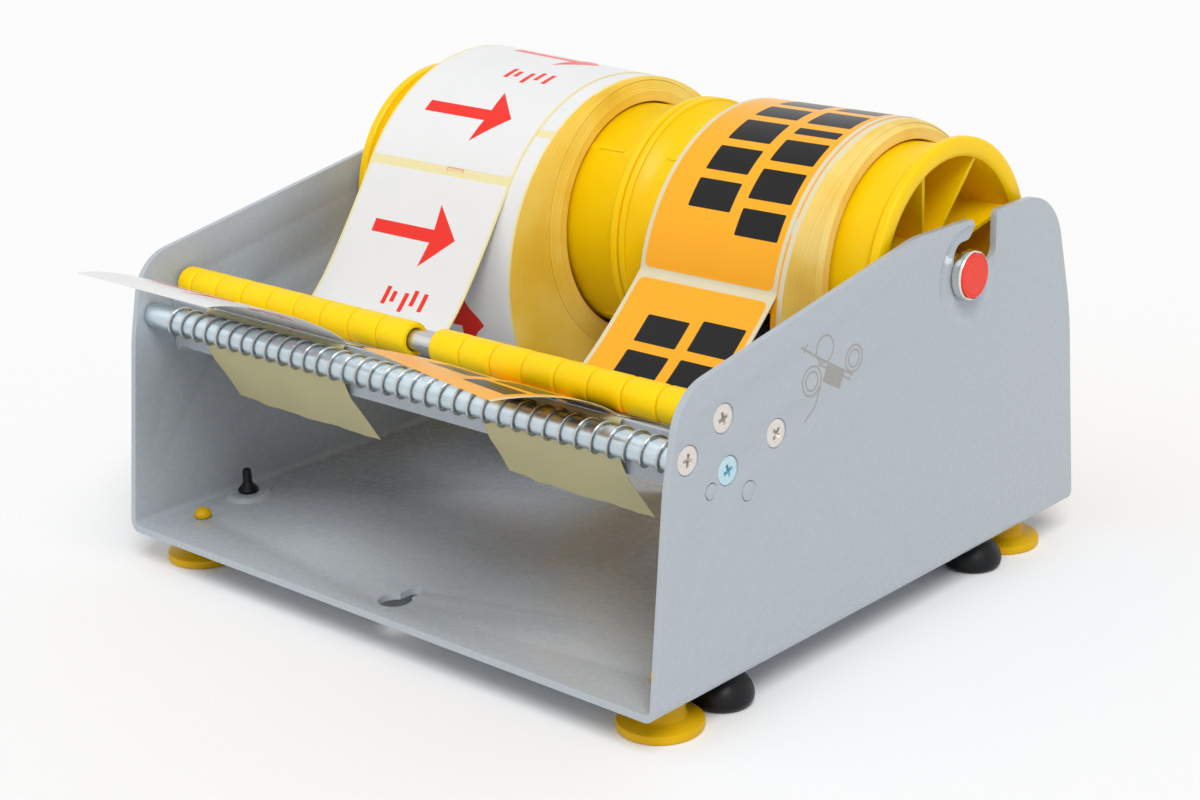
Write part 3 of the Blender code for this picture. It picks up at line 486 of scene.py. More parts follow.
width, thick, bend = sheetSizes["width"], sheetSizes["thickness"], sheetSizes["outerBend"]
overrun = sheetSizes["overrun"]
seatArc = [(*p, 0) for p in arcPoints(sheetSizes["seat"], sheetSizes["seatRadius"], 180, 305, 24)]
sideLoop = roundCorners(sheetSizes["front"] + seatArc + sheetSizes["rear"], True, 6)
frameSheet = extrudeFlat("frameSheet", sideLoop, -overrun, width + overrun)
top = sheetSizes["channelTop"]
section = [Vector((0, top))] + arcPoints((bend, bend), bend, 180, 270, 12)
section += arcPoints((width - bend, bend), bend, 270, 360, 12)
section += [Vector((width, top)), Vector((width - thick, top))]
section += arcPoints((width - bend, bend), bend - thick, 360, 270, 8)
section += arcPoints((bend, bend), bend - thick, 270, 180, 8) + [Vector((thick, top))]
channel = drawLine("channel", [at(u, sheetSizes["channelFrom"], v) for u, v in section], closed=True)
bpy.ops.mesh.edge_face_add()
bpy.ops.mesh.extrude_region_move(
    TRANSFORM_OT_translate={"value": Vector((0, sheetSizes["channelLength"] / 1000, 0))})
closeUp(1e-7)
join(frameSheet, channel, "INTERSECT")

# raised seats that hold the suction cups' necks in the floor, and the holes for cups and feet
wide = sheetSizes["embossRadius"]
top = thick + sheetSizes["embossHeight"]
seatProfile = [(1.2, 0), (1.2, wide), (2.02, wide), (2.3, wide - 0.25), (top - 0.25, wide - 0.9),
               (top - 0.05, wide - 1.4), (top, wide - 2.0), (top, 0)]
cupHole, footHole = sheetSizes["cupHole"], sheetSizes["footHole"]
for end in ("front", "rear"):
    for side, x in bothSides(cupPlaces["inset"]):
        centre = at(x, cupPlaces[end], 0)
        join(frameSheet, turnPiece("seat", seatProfile, centre, 40, True))
        join(frameSheet, turnPiece("stemHole", [(-2, 0), (-2, cupHole), (6, cupHole), (6, 0)],
                                   centre, 24, True), "DIFFERENCE")
    for side, x in bothSides(footPlaces["inset"]):
        join(frameSheet, turnPiece("stemHole", [(-2, 0), (-2, footHole), (4, footHole), (4, 0)],
                                   at(x, footPlaces[end], 0), 24, True), "DIFFERENCE")

# countersunk rod holes, dowel holes and the dish round each reel seat, as depth and radius
headHole, threadHole = sheetSizes["headHole"], sheetSizes["threadHole"]
rodHole = [(-1, 0), (-1, headHole), (0.3, headHole), (2.4, threadHole), (3, threadHole), (3, 0)]
dishEdge = sheetSizes["dishRadius"]
dish = [(-1, 0), (-1, dishEdge + 0.4), (-0.02, dishEdge), (0.25, dishEdge - 0.3), (0.6, dishEdge - 1.0),
        (0.85, dishEdge - 2.1), (0.95, dishEdge - 4.0), (1.0, 0)]
for x, way in ((0, 1), (width, -1)):
    cuts = [("hole", rodHole, place, 32) for place in rodPlaces.values()]
    for y, z, radius in dowelPlaces:
        snug = radius + sheetSizes["dowelGap"]
        cuts.append(("dowelHole", [(-1, 0), (-1, radius + 0.6), (0.0, radius + 0.45), (0.35, snug),
                                   (3, snug), (3, 0)], (y, z), 36))
    cuts.append(("dish", dish, sheetSizes["seat"], 72))
    for name, profile, place, steps in cuts:
        join(frameSheet, turnPiece(name, facing(profile, way), at(x, *place), steps), "DIFFERENCE")

keyX, keyY, keyRadius = sheetSizes["keyhole"]
slotY, slotRadius = sheetSizes["keyholeEnd"]
keyFrom, keyCut = sheetSizes["keyholeCut"]
half = math.degrees(math.asin(slotRadius / keyRadius))
keyLoop = arcPoints((keyX, keyY), keyRadius, 90 + half, 450 - half, 36)
keyLoop += arcPoints((keyX, slotY), slotRadius, 0, 180, 12)
keyTool = drawLine("keyTool", [at(u, v, keyFrom) for u, v in keyLoop], closed=True)
bpy.ops.mesh.edge_face_add()
bpy.ops.mesh.extrude_region_move(TRANSFORM_OT_translate={"value": Vector((0, 0, keyCut / 1000))})
closeUp(1e-7)
join(frameSheet, keyTool, "DIFFERENCE")
roundEdges(frameSheet, sheetSizes["edgeRound"], 3, 50)
finishPiece(frameSheet, powderCoat, "frame", ["folded_frame"], 40)
print("folded frame made")

# threading picture printed on the right side: rings, webs and the plate, with no words
pictureSizes = {"rings": [((68.8, 79.5), 3.6, 0.28), ((81.3, 73.9), 3.6, 0.28), ((81.3, 73.9), 2.3, 0.28),
                          ((63.3, 72.3), 3.9, 0.28), ((63.3, 72.3), 2.5, 0.28)],
                "lines": [((59.2, 82.2), (66.4, 77.6), 0.32), ((66.4, 77.6), (80.6, 69.7), 0.32),
                          ((66.2, 76.0), (79.6, 68.6), 0.28), ((66.9, 70.2), (64.6, 65.2), 0.28),
                          ((64.6, 65.2), (60.4, 62.2), 0.28), ((60.0, 80.9), (61.4, 82.4), 0.25)],
                "block": ((72.6, 71.4), (4.2, 2.6), 0.4), "blockTurn": -28, "ink": "9C9A96",
                "fromX": 104.5}
tree = powderTree
place = addNode(tree, "ShaderNodeTexCoord").outputs["Object"]
millimetres = addNode(tree, "ShaderNodeVectorMath", {"operation": "SCALE"},
                      {0: place, "Scale": 1000}).outputs[0]
sides = addNode(tree, "ShaderNodeSeparateXYZ", {}, {0: millimetres})
flat = addNode(tree, "ShaderNodeCombineXYZ", {}, {0: sides.outputs[1], 1: sides.outputs[2]}).outputs[0]
shapes = []


def onPicture(y, z):
    return (y - layout["middleY"], z + layout["floorUp"], 0)


for (y, z), radius, halfLine in pictureSizes["rings"]:
    away = addNode(tree, "ShaderNodeVectorMath", {"operation": "DISTANCE"},
                   {0: flat, 1: onPicture(y, z)}).outputs[1]
    away = addNode(tree, "ShaderNodeMath", {"operation": "SUBTRACT"}, {0: away, 1: radius}).outputs[0]
    away = addNode(tree, "ShaderNodeMath", {"operation": "ABSOLUTE"}, {0: away}).outputs[0]
    line = addNode(tree, "ShaderNodeMath", {"operation": "SUBTRACT"}, {0: away, 1: halfLine})
    shapes.append(line.outputs[0])
for start, end, halfLine in pictureSizes["lines"]:
    first, last = Vector(onPicture(*start)), Vector(onPicture(*end))
    run = last - first
    offset = addNode(tree, "ShaderNodeVectorMath", {"operation": "SUBTRACT"},
                     {0: flat, 1: first}).outputs[0]
    share = addNode(tree, "ShaderNodeVectorMath", {"operation": "DOT_PRODUCT"},
                    {0: offset, 1: run}).outputs[1]
    share = addNode(tree, "ShaderNodeMath", {"operation": "DIVIDE", "use_clamp": True},
                    {0: share, 1: run.length_squared}).outputs[0]
    along = addNode(tree, "ShaderNodeVectorMath", {"operation": "SCALE"},
                    {0: run, "Scale": share}).outputs[0]
    away = addNode(tree, "ShaderNodeVectorMath", {"operation": "DISTANCE"},
                   {0: offset, 1: along}).outputs[1]
    line = addNode(tree, "ShaderNodeMath", {"operation": "SUBTRACT"}, {0: away, 1: halfLine})
    shapes.append(line.outputs[0])
blockCentre, blockHalf, blockCorner = pictureSizes["block"]
blockTurn = (0, 0, math.radians(pictureSizes["blockTurn"]))
turned = addNode(tree, "ShaderNodeMapping", {"vector_type": "TEXTURE"},
                 {"Vector": flat, "Location": onPicture(*blockCentre), "Rotation": blockTurn}).outputs[0]
shapes.append(boxDistance(tree, turned, (0, 0), blockHalf, blockCorner))
ink = inkMask(tree, nearest(tree, shapes), 0.08)
onRight = addNode(tree, "ShaderNodeMath", {"operation": "GREATER_THAN"},
                  {0: sides.outputs[0], 1: pictureSizes["fromX"]}).outputs[0]
ink = addNode(tree, "ShaderNodeMath", {"operation": "MULTIPLY"}, {0: ink, 1: onRight}).outputs[0]
printed = addNode(tree, "ShaderNodeMix", {"data_type": "RGBA"},
                  {"Factor": ink, 6: powderTint.outputs[2], 7: colour(pictureSizes["ink"])}).outputs[2]
tree.links.new(printed, powderShader.inputs["Base Color"])
plateCoat = powderCoat.copy()
plateCoat.name = "powderCoatPlate"

# reel shaft, knobs and caps
reel = sheetSizes["seat"]
reelSizes = {"shaftRadius": 5.0, "shaftPast": 0.8, "gateSize": 1.6, "gateAt": 2.0, "gateRound": 0.2}
shaftRadius, shaftPast = reelSizes["shaftRadius"], reelSizes["shaftPast"]
shaft = turnPiece("reelShaft", [(-shaftPast, 0), (-shaftPast, shaftRadius), (width + shaftPast, shaftRadius),
                                (width + shaftPast, 0)], at(0, *reel), 48)
finishPiece(shaft, drawnSteel, "reel_shaft", ["reel_shaft"])
# how far in from the side's outer face, and radius
knobProfile = [(0.7, 5.3), (0.7, 6.7), (0.45, 6.95), (0.0, 7.0), (-1.5, 7.0), (-1.9, 6.93), (-2.15, 6.75),
               (-2.2, 6.62), (-1.6, 6.6), (-1.2, 6.6), (-1.2, 5.3)]
capProfile = [(-1.5, 0), (-1.5, 6.3), (-2.45, 6.3), (-2.62, 6.2), (-2.7, 6.0), (-2.7, 5.75), (-2.55, 5.6),
              (-2.55, 5.35), (-2.7, 5.2), (-2.7, 0)]
for side, x, way in (("left", 0, 1), ("right", width, -1)):
    knob = turnPiece(side + "Knob", facing(knobProfile, way), at(x, *reel), 64)
    finishPiece(knob, chrome, "reel_shaft", [side + "_knob"])
    cap = turnPiece(side + "Cap", facing(capProfile, way), at(x, *reel), 64)
    # the small raised square that the mould's gate leaves in the middle
    bpy.ops.object.select_all(action="DESELECT")
    bpy.ops.mesh.primitive_cube_add(size=reelSizes["gateSize"] / 1000, rotation=(math.pi / 4, 0, 0),
                                    location=at(x - way * reelSizes["gateAt"], *reel))
    gate = bpy.context.object
    bpy.ops.object.transform_apply(location=True, rotation=True, scale=True)
    roundEdges(gate, reelSizes["gateRound"])
    join(cap, gate)
    finishPiece(cap, capRed, "reel_shaft", [side + "_knob_cap"])
print("reel made")

# hubs
hubSizes = {
    "left_white_hub": {"face": 4.0, "end": 60.0, "flange": 37.8, "depth": 3.4, "body": "white_hubs",
                       "step": 0, "blend": 2.6, "ridges": None},
    "middle_white_hub": {"face": 115.15, "end": 70.0, "flange": 38.2, "depth": 2.6, "body": "white_hubs",
                         "step": 2.4, "blend": 0, "ridges": (9.2, 10.0)},
    "middle_orange_hub": {"face": 115.45, "end": 150.0, "flange": 38.2, "depth": 2.6,
                          "body": "orange_hubs", "step": 0, "blend": 6.0, "ridges": (3.4, 9.6)},
    "right_orange_hub": {"face": 205.5, "end": 170.0, "flange": 37.2, "depth": 3.2, "body": "orange_hubs",
                         "step": 0, "blend": 2.6, "ridges": None},
}
drumSizes = {"outside": 34.0, "inside": 31.8, "boss": 9.0, "bore": 5.3, "bossFace": 6.0, "endWall": 1.6,
             "ribs": 8, "firstRib": 22.5, "ribHalf": (0.5, 0.6), "ribFrom": (8.0, 2.0), "ribShort": 0.9,
             "ridgeAngles": (48, 132, 228, 312), "ridge": 0.9, "ridgeRound": 0.25}
drumRadius, insideRadius, bossRadius = drumSizes["outside"], drumSizes["inside"], drumSizes["boss"]
bore, bossFace, endWall = drumSizes["bore"], drumSizes["bossFace"], drumSizes["endWall"]


def hubProfile(sizes, depth):
    # how far in from the flange's face, and radius: flange, step or hollow sweep, drum, end wall, boss
    flange, rim = sizes["flange"], sizes["depth"]
    profile = [(1.0, insideRadius), (0.35, insideRadius + 0.6), (0.0, insideRadius + 1.6),
               (0.0, flange - 1.3), (0.25, flange - 0.5), (0.8, flange), (rim - 0.6, flange),
               (rim - 0.1, flange - 0.4), (rim, flange - 0.9)]
    if sizes["step"]:
        profile += [(rim + 0.05, drumRadius + 1.5), (rim + sizes["step"] - 0.4, drumRadius + 1.4),
                    (rim + sizes["step"], drumRadius + 0.9), (rim + sizes["step"] + 0.15, drumRadius + 0.1)]
    if sizes["blend"]:
        rise = flange - 1.0 - drumRadius
        for i in range(1, 10):
            fall = 1 - math.sin(math.pi / 2 * i / 10)
            profile.append((rim + sizes["blend"] * i / 10, drumRadius + rise * fall + 0.02))
    drumFrom = rim + max(sizes["step"], sizes["blend"]) + 0.4
    profile += [(drumFrom, drumRadius), (depth - 0.8, drumRadius), (depth - 0.2, drumRadius - 0.25),
                (depth, drumRadius - 0.8), (depth, bore), (bossFace, bore), (bossFace, bossRadius - 0.5),
                (bossFace + 0.5, bossRadius), (depth - endWall, bossRadius + 0.4),
                (depth - endWall, insideRadius - 0.6), (depth - endWall - 0.6, insideRadius)]
    return profile


def makeRibs(centre, way, depth):
    # thin ribs from the drum to the boss, their front edges sloping back to the boss
    bpy.ops.object.select_all(action="DESELECT")
    bpy.ops.mesh.primitive_cube_add(size=0.001, location=centre)
    ribs = bpy.context.object
    bpy.ops.object.transform_apply(location=True, rotation=True, scale=True)
    bpy.ops.object.mode_set(mode="EDIT")
    form = bmesh.from_edit_mesh(ribs.data)
    ends = (bossRadius - 0.4, insideRadius + 0.5)
    for vertex in form.verts:
        side = vertex.co - centre
        outer = side.z > 0
        along = depth - drumSizes["ribShort"] if side.x > 0 else drumSizes["ribFrom"][outer]
        half = math.copysign(drumSizes["ribHalf"][outer], side.y)
        vertex.co = centre + Vector((way * along, half, ends[outer])) / 1000
    bmesh.update_edit_mesh(ribs.data)
    bpy.ops.mesh.select_all(action="SELECT")
    bpy.ops.mesh.normals_make_consistent(inside=False)
    bpy.ops.transform.rotate(value=math.radians(drumSizes["firstRib"]), orient_axis="X",
                             center_override=centre)
    copies = drumSizes["ribs"] - 1
    bpy.ops.mesh.spin(steps=copies, angle=math.tau * copies / drumSizes["ribs"], center=centre,
                      axis=(1, 0, 0), dupli=True)
    bpy.ops.object.mode_set(mode="OBJECT")
    return ribs


for node, sizes in hubSizes.items():
    way = 1 if sizes["end"] > sizes["face"] else -1
    depth = abs(sizes["end"] - sizes["face"])
    centre = at(sizes["face"], *reel)
    hub = turnPiece(node.replace("_", "-"), facing(hubProfile(sizes, depth), way), centre, 96)
    join(hub, makeRibs(centre, way, depth))
    if sizes["ridges"]:
        ridgeFrom, ridgeLength = sizes["ridges"]
        for angle in drumSizes["ridgeAngles"]:
            away = direction(angle) * drumRadius
            middle = Vector((way * (ridgeFrom + ridgeLength / 2), away.x, away.y))
            bpy.ops.object.select_all(action="DESELECT")
            bpy.ops.mesh.primitive_cube_add(size=0.001, location=centre + middle / 1000,
                                            scale=(ridgeLength, drumSizes["ridge"], drumSizes["ridge"]),
                                            rotation=(math.radians(angle), 0, 0))
            ridge = bpy.context.object
            bpy.ops.object.transform_apply(location=True, rotation=True, scale=True)
            roundEdges(ridge, drumSizes["ridgeRound"])
            join(hub, ridge)
    finishPiece(hub, hubYellow, sizes["body"], [node], 30)
print("hubs made")

# rolls
coreSizes = {"inner": 34.9, "outer": 37.9, "drop": 0.4}
corePlace = (reel[0], reel[1] - coreSizes["drop"])
rollSizes = {
    "white": {"core": (33.0, 93.0), "turns": (31.7, 91.7), "slack": (29.0, 89.0), "printShift": 7.0,
              "wound": 41.2, "swell": 13.9, "rise": 0.5, "web": (22.0, 82.0), "lift": 2.8,
              "leave": 146.0, "run": 56.0, "rollHandle": 25.0, "rollerHandle": 12.0,
              "label": (24.0, 81.0), "tip": (-25.8, 90.5), "rises": (47.0, 3.0), "handles": (12.0, 11.2),
              "twist": 0.0, "printFrom": 44.4, "flare": 0.0,
              "tail": (21.3, 81.6), "tailEnd": (30.5, 37.2), "lookFrom": 350.0,
              "edge": ("E3B430", "EFC640", "F7D86A")},
    "orange": {"core": (140.5, 189.0), "turns": (139.0, 187.5), "slack": (135.5, 184.0), "printShift": 1.8,
               "wound": 39.2, "swell": 9.9, "rise": 0.4, "web": (134.0, 182.0), "lift": 0.0,
               "leave": 168.0, "run": 46.0, "rollHandle": 12.0, "rollerHandle": 10.0,
               "label": (135.5, 181.5), "tip": (-22.6, 84.4), "rises": (40.0, 6.0),
               "handles": (12.2, 11.9), "twist": 4.2, "printFrom": 127.5, "flare": 2.4,
               "tail": (136.2, 184.2), "tailEnd": (28.6, 39.6), "lookFrom": 330.0,
               "edge": ("DFB44C", "EDC860", "F6DC88")},
}
# the slack turns' hole stands off the tight turns; shares say where each ring of them ends
slackSizes = {"hole": 0.1, "cadHole": 0.4, "forward": 0.2, "shares": [0.0, 0.22, 0.41, 0.6, 0.76, 0.9, 1.0]}
# thicknesses, the paper's clearance over rings and tube, and where the plate's sharp edge lies
paperSizes = {"web": 0.3, "label": 0.15, "tail": 0.12, "clearance": 0.3, "ring": 4.95, "tube": 4.0,
              "peelY": 21.0, "torn": 9.0}
paperThick, clearance, peelY = paperSizes["web"], paperSizes["clearance"], paperSizes["peelY"]
press, guide = Vector(rodPlaces["press"]), Vector(rodPlaces["guide"])
ringReach = paperSizes["ring"] + clearance + paperThick / 2
guideReach = paperSizes["tube"] + clearance + paperThick / 2
between = guide - press
upward = Matrix.Rotation(math.acos((guideReach - ringReach) / between.length), 2) @ between.normalized()
rearward = Vector((upward.y, -upward.x))
lineStart = press - upward * ringReach
plateTop = press - upward * (ringReach + paperThick / 2 + clearance)


def onLine(point, y):
    return point + rearward * (y - point.x) / rearward.x


def setRun(piece, path, lengths, shift=0.0):
    # the UV map "run": u is x and v the length along the path, both in metres
    layer = piece.data.uv_layers.new(name="run")
    for loop in piece.data.loops:
        spot = piece.data.vertices[loop.vertex_index].co
        y = spot.y * 1000 + layout["middleY"]
        z = spot.z * 1000 - layout["floorUp"]
        best = min(range(len(path)), key=lambda i: (path[i].x - y) ** 2 + (path[i].y - z) ** 2)
        layer.data[loop.index].uv = (spot.x + (layout["middleX"] - shift) / 1000, lengths[best] / 1000)


def sheetPiece(name, path, start, end, startLength=0.0, columns=1):
    # an open sheet that follows a path in y, z from x start to x end; giveWall gives it its thickness
    points = [at(start, u, v) for u, v in path]
    piece = drawLine(name, points)
    for column in range(columns):
        bpy.ops.mesh.extrude_region_move(
            TRANSFORM_OT_translate={"value": Vector(((end - start) / 1000 / columns, 0, 0))})
    bpy.ops.object.mode_set(mode="OBJECT")
    lengths = [startLength]
    for near, far in zip(path, path[1:]):
        lengths.append(lengths[-1] + (far - near).length)
    setRun(piece, path, lengths)
    return piece


def giveWall(piece, thickness, outward):
    # outward is the side in y, z that the first face looks to before the wall is added
    face = piece.data.polygons[0]
    if (face.normal.y * outward.x + face.normal.z * outward.y) < 0:
        selectOnly(piece)
        bpy.ops.object.mode_set(mode="EDIT")
        bpy.ops.mesh.select_all(action="SELECT")
        bpy.ops.mesh.flip_normals()
        bpy.ops.object.mode_set(mode="OBJECT")
    selectOnly(piece)
    wall = piece.modifiers.new("wall", "SOLIDIFY")
    wall.thickness = thickness / 1000
    wall.offset = -1
    wall.use_even_offset = True
    wall.material_offset = 1
    wall.material_offset_rim = 2
    for slot in range(3):
        piece.data.materials.append(None)
    bpy.ops.object.modifier_apply(modifier=wall.name)
    piece.data.materials.clear()


def turnRing(name, inner, outer, start, end, innerCentre, outerCentre, creeps, steps=144):
    # a ring between two circles that need not share a centre; creeps shift its hole and rim sideways
    holeLoop = [at(start, *p) for p in arcPoints(innerCentre, inner, 0, 360, steps)[:-1]]
    outerLoop = [at(start, *p) for p in arcPoints(outerCentre, outer, 0, 360, steps)[:-1]]
    piece = drawLine(name, outerLoop, closed=True)
    bpy.ops.mesh.extrude_region_move(TRANSFORM_OT_translate={"value": Vector((0, 0, 0))})
    form = bmesh.from_edit_mesh(piece.data)
    form.verts.ensure_lookup_table()
    for vertex in form.verts:
        if vertex.select:
            near = min(range(steps), key=lambda i: (outerLoop[i] - vertex.co).length_squared)
            vertex.co = holeLoop[near]
    bmesh.update_edit_mesh(piece.data)
    bpy.ops.mesh.select_all(action="SELECT")
    bpy.ops.mesh.extrude_region_move(TRANSFORM_OT_translate={"value": Vector(((end - start) / 1000, 0, 0))})
    closeUp(1e-7)
    middle = Vector(innerCentre)
    for vertex in piece.data.vertices:
        spot = Vector((vertex.co.y * 1000 + layout["middleY"], vertex.co.z * 1000 - layout["floorUp"]))
        onHole = abs((spot - middle).length - inner) < 0.005
        vertex.co.x += (creeps[0] if onHole else creeps[1]) / 1000
    return piece


for lane, sizes in rollSizes.items():
    printFinish = whiteLabel if lane == "white" else orangeLabel
    start, end = sizes["core"]
    coreCentre = at(0, *corePlace)
    coreIn, coreOut = coreSizes["inner"], coreSizes["outer"]
    core = turnPiece(lane + "RollCore", [(start + 0.3, coreIn), (start, coreIn + 0.3), (start, coreOut),
                                         (end, coreOut), (end, coreIn + 0.3), (end - 0.3, coreIn)],
                     coreCentre, 96)
    boardEdge = paperEdge(lane + "BoardEdge", coreCentre, sizes["edge"])
    finishPiece(core, boardEdge, lane + "_roll", [lane + "_roll_core"])
    # tight turns: the sides slope, because the inner turns have crept to the right
    inner, outer = coreOut, sizes["wound"]
    turnsStart, turnsEnd = sizes["turns"]
    creep = start - turnsStart
    count = int((outer - inner) / paperThick)
    profile = []
    for side, face in ((0, turnsStart), (1, turnsEnd)):
        steps = []
        for k in range(count + 1):
            radius = inner + (outer - inner) * k / count
            shift = creep * (1 - k / count) + 0.06 * math.sin(k * 2.3 + side)
            steps.append((face + shift, radius))
        profile += steps if side == 0 else steps[::-1]
    windings = turnPiece(lane + "RollTurns", profile, coreCentre, 120)
    finishPiece(windings, boardEdge, lane + "_roll", [lane + "_roll_windings"])

    # slack outer turns: solid rings between the tight turns and the outer one, sloping the same way
    hole = outer + slackSizes["hole"]
    slack = outer + slackSizes["cadHole"] + sizes["swell"]
    slackPlace = (reel[0] - slackSizes["forward"], corePlace[1] - (sizes["swell"] - sizes["rise"]))
    slackCentre = at(0, *slackPlace)
    slackStart, slackEnd = sizes["slack"]
    edgeFinish = paperEdge(lane + "PaperEdge", at(0, slackPlace[0], slackPlace[1] + 2.5), sizes["edge"])
    shares = slackSizes["shares"]
    for k in range(len(shares) - 1):
        radii = [hole + (slack - hole) * share for share in shares[k:k + 2]]
        middles = [Vector(corePlace).lerp(Vector(slackPlace), share) for share in shares[k:k + 2]]
        creeps = [(turnsStart - slackStart) * (1 - share) for share in shares[k:k + 2]]
        ring = turnRing(lane + "SlackTurns" + str(k + 1), radii[0], radii[1],
                        slackStart, slackEnd, middles[0], middles[1], creeps)
        lastRing = k == len(shares) - 2
        if lastRing:
            path = arcPoints(slackPlace, slack, -40, 320, 360)
            lengths = [sizes["lookFrom"] + slack * math.radians(i) for i in range(len(path))]
            setRun(ring, path, lengths, sizes["printShift"])
        stands = [lane + "_label_web"] if lastRing else ()
        finishPiece(ring, [edgeFinish, printFinish], "frame", stands)
        if lastRing:
            for face in ring.data.polygons:
                away = Vector((face.center.y, face.center.z)) - Vector((slackCentre.y, slackCentre.z))
                if abs(face.normal.x) < 0.5 and away.length > (slack - 0.6) / 1000:
                    face.material_index = 1

    # the outermost turn and the web that runs from it to the peel edge
    webStart, webEnd = sizes["web"]
    outerTurn = slack + 0.3
    leave = Vector(slackPlace) + outerTurn * direction(sizes["leave"])
    run = direction(sizes["run"])
    under = guide + guideReach * direction(-70)
    lineAngle = math.degrees(math.atan2(-upward.y, -upward.x))
    turnPath = arcPoints(slackPlace, outerTurn, -40, sizes["leave"], 150)
    freePath = curvePoints(leave, leave - run * sizes["rollHandle"],
                           under + direction(20) * sizes["rollerHandle"], under, 40)
    wrapPath = arcPoints(guide, guideReach, -70, lineAngle, 10)
    lastPath = [onLine(lineStart, guide.x - 6), onLine(lineStart, peelY + 0.6)]
    webPath = turnPath + freePath[1:] + wrapPath[1:] + lastPath[1:]
    web = sheetPiece(lane + "Web", webPath, webStart, webEnd, 0.0, 12)
    for vertex in web.data.vertices:
        # the turn stands off the roll at its left edge, over the top
        away = Vector((vertex.co.y - slackCentre.y, vertex.co.z - slackCentre.z))
        share = (webEnd - (vertex.co.x * 1000 + layout["middleX"])) / (webEnd - webStart)
        rise = max(0.0, away.normalized().dot(direction(75.0)))
        if abs(away.length * 1000 - outerTurn) < 0.5:
            push = away.normalized() * sizes["lift"] * share * rise * rise / 1000
            vertex.co.y += push.x
            vertex.co.z += push.y
    giveWall(web, paperThick, direction(-40))
    finishPiece(web, [printFinish, linerPaper, linerPaper], "frame", ())

    # peeled label: curls up from the edge
    rise, tipRise = sizes["rises"]
    edgeHandle, tipHandle = sizes["handles"]
    labelStart = onLine(lineStart, peelY)
    tip = Vector(sizes["tip"])
    labelPath = curvePoints(labelStart, labelStart + direction(180 - rise) * edgeHandle,
                            tip + direction(-tipRise) * tipHandle, tip, 32)
    peeled = sheetPiece(lane + "PeeledLabel", labelPath, *sizes["label"], sizes["printFrom"], 8)
    left, right = sizes["label"]
    for vertex in peeled.data.vertices:
        out = (peelY - (vertex.co.y * 1000 + layout["middleY"])) / (peelY - tip.x)
        side = (right - (vertex.co.x * 1000 + layout["middleX"])) / (right - left)
        vertex.co.z += sizes["twist"] * side * out * out / 1000
        vertex.co.y += sizes["twist"] * side * out * out * 0.4 / 1000
    giveWall(peeled, paperSizes["label"], Vector((0, 1)))
    finishPiece(peeled, [printFinish, labelBack, labelBack], "frame", [lane + "_peeled_label"])

    # liner: turns over the peel edge and hangs behind the spring roller, torn at its end
    nose = onLine(plateTop, peelY)
    bends = [(-0.4, -0.2, 0), (-1.1, 0.4, 0.6), (-2.3, -0.6, 1.0), (-1.0, -3.6, 3.0), (-3.0, -9.4, 6.0),
             (-0.6, -15.6, 8.0)]
    tailCorners = [(nose.x + back, nose.y + lift, radius) for back, lift, radius in bends]
    tailCorners.append((*sizes["tailEnd"], 0))
    tailPath = roundCorners(tailCorners, False, 10)
    dense = []
    for near, far in zip(tailPath, tailPath[1:]):
        steps = max(1, int((far - near).length / 1.2))
        dense += [near.lerp(far, i / steps) for i in range(steps)]
    dense.append(tailPath[-1])
    tail = sheetPiece(lane + "LinerTail", dense, *sizes["tail"], 0.0, 28)
    total = sum((b - a).length for a, b in zip(dense, dense[1:]))
    tornFrom = total - paperSizes["torn"]
    lengthAt = {}
    for loop in tail.data.loops:
        lengthAt[loop.vertex_index] = tail.data.uv_layers["run"].data[loop.index].uv[1] * 1000
    lean = (dense[-1] - dense[-6]).normalized()
    for vertex in tail.data.vertices:
        x = vertex.co.x * 1000 + layout["middleX"]
        share = (x - sizes["tail"][0]) / (sizes["tail"][1] - sizes["tail"][0])
        length = lengthAt[vertex.index]
        torn = 0.6 + 2.0 * max(0.0, 1 - share) ** 0.7
        torn += 0.3 * math.sin(share * 19 + 1) + 0.15 * math.sin(share * 47)
        torn += 0.9 * max(0, 1 - abs(share - 0.12) / 0.06)
        pull = max(0.0, (length - tornFrom) / paperSizes["torn"]) * max(0.0, torn)
        vertex.co.y -= lean.x * pull / 1000
        vertex.co.z -= lean.y * pull / 1000
        # a soft wave across the sheet where it hangs free
        vertex.co.x += sizes["flare"] * share * (length / total) ** 2 / 1000
        wave = 0.5 * math.sin(share * 5.2 + length * 0.08) * min(1.0, max(0.0, (length - 14) / 10))
        vertex.co.y += wave / 1000
    giveWall(tail, paperSizes["tail"], Vector((-1, 0)))
    finishPiece(tail, [linerPaper, linerPaper, linerPaper], "frame", [lane + "_liner_tail"])
print("rolls, webs and liners made")

# rods, tubes and rings
rodSizes = {
    "press_rod": {"name": "pressRod", "radius": 2.9, "place": press},
    "guide_rod": {"name": "guideRod", "radius": 2.9, "place": guide},
    "spring_rod": {"name": "springRod", "radius": 2.45, "place": Vector(rodPlaces["spring"])},
}
rodEnds = {"from": 2.3, "to": width - 2.3, "chamfer": 0.3, "thread": 1.8, "threadDepth": 7.5}
rodFrom, rodTo, thread = rodEnds["from"], rodEnds["to"], rodEnds["thread"]
for node, sizes in rodSizes.items():
    radius, chamfer, deep = sizes["radius"], rodEnds["chamfer"], rodEnds["threadDepth"]
    profile = [(rodFrom + deep, 0), (rodFrom + deep, thread), (rodFrom, thread), (rodFrom, radius - chamfer),
               (rodFrom + chamfer, radius), (rodTo - chamfer, radius), (rodTo, radius - chamfer),
               (rodTo, thread), (rodTo - deep, thread), (rodTo - deep, 0)]
    rod = turnPiece(sizes["name"], profile, at(0, *sizes["place"]), 40)
    finishPiece(rod, drawnSteel, "frame", [node])

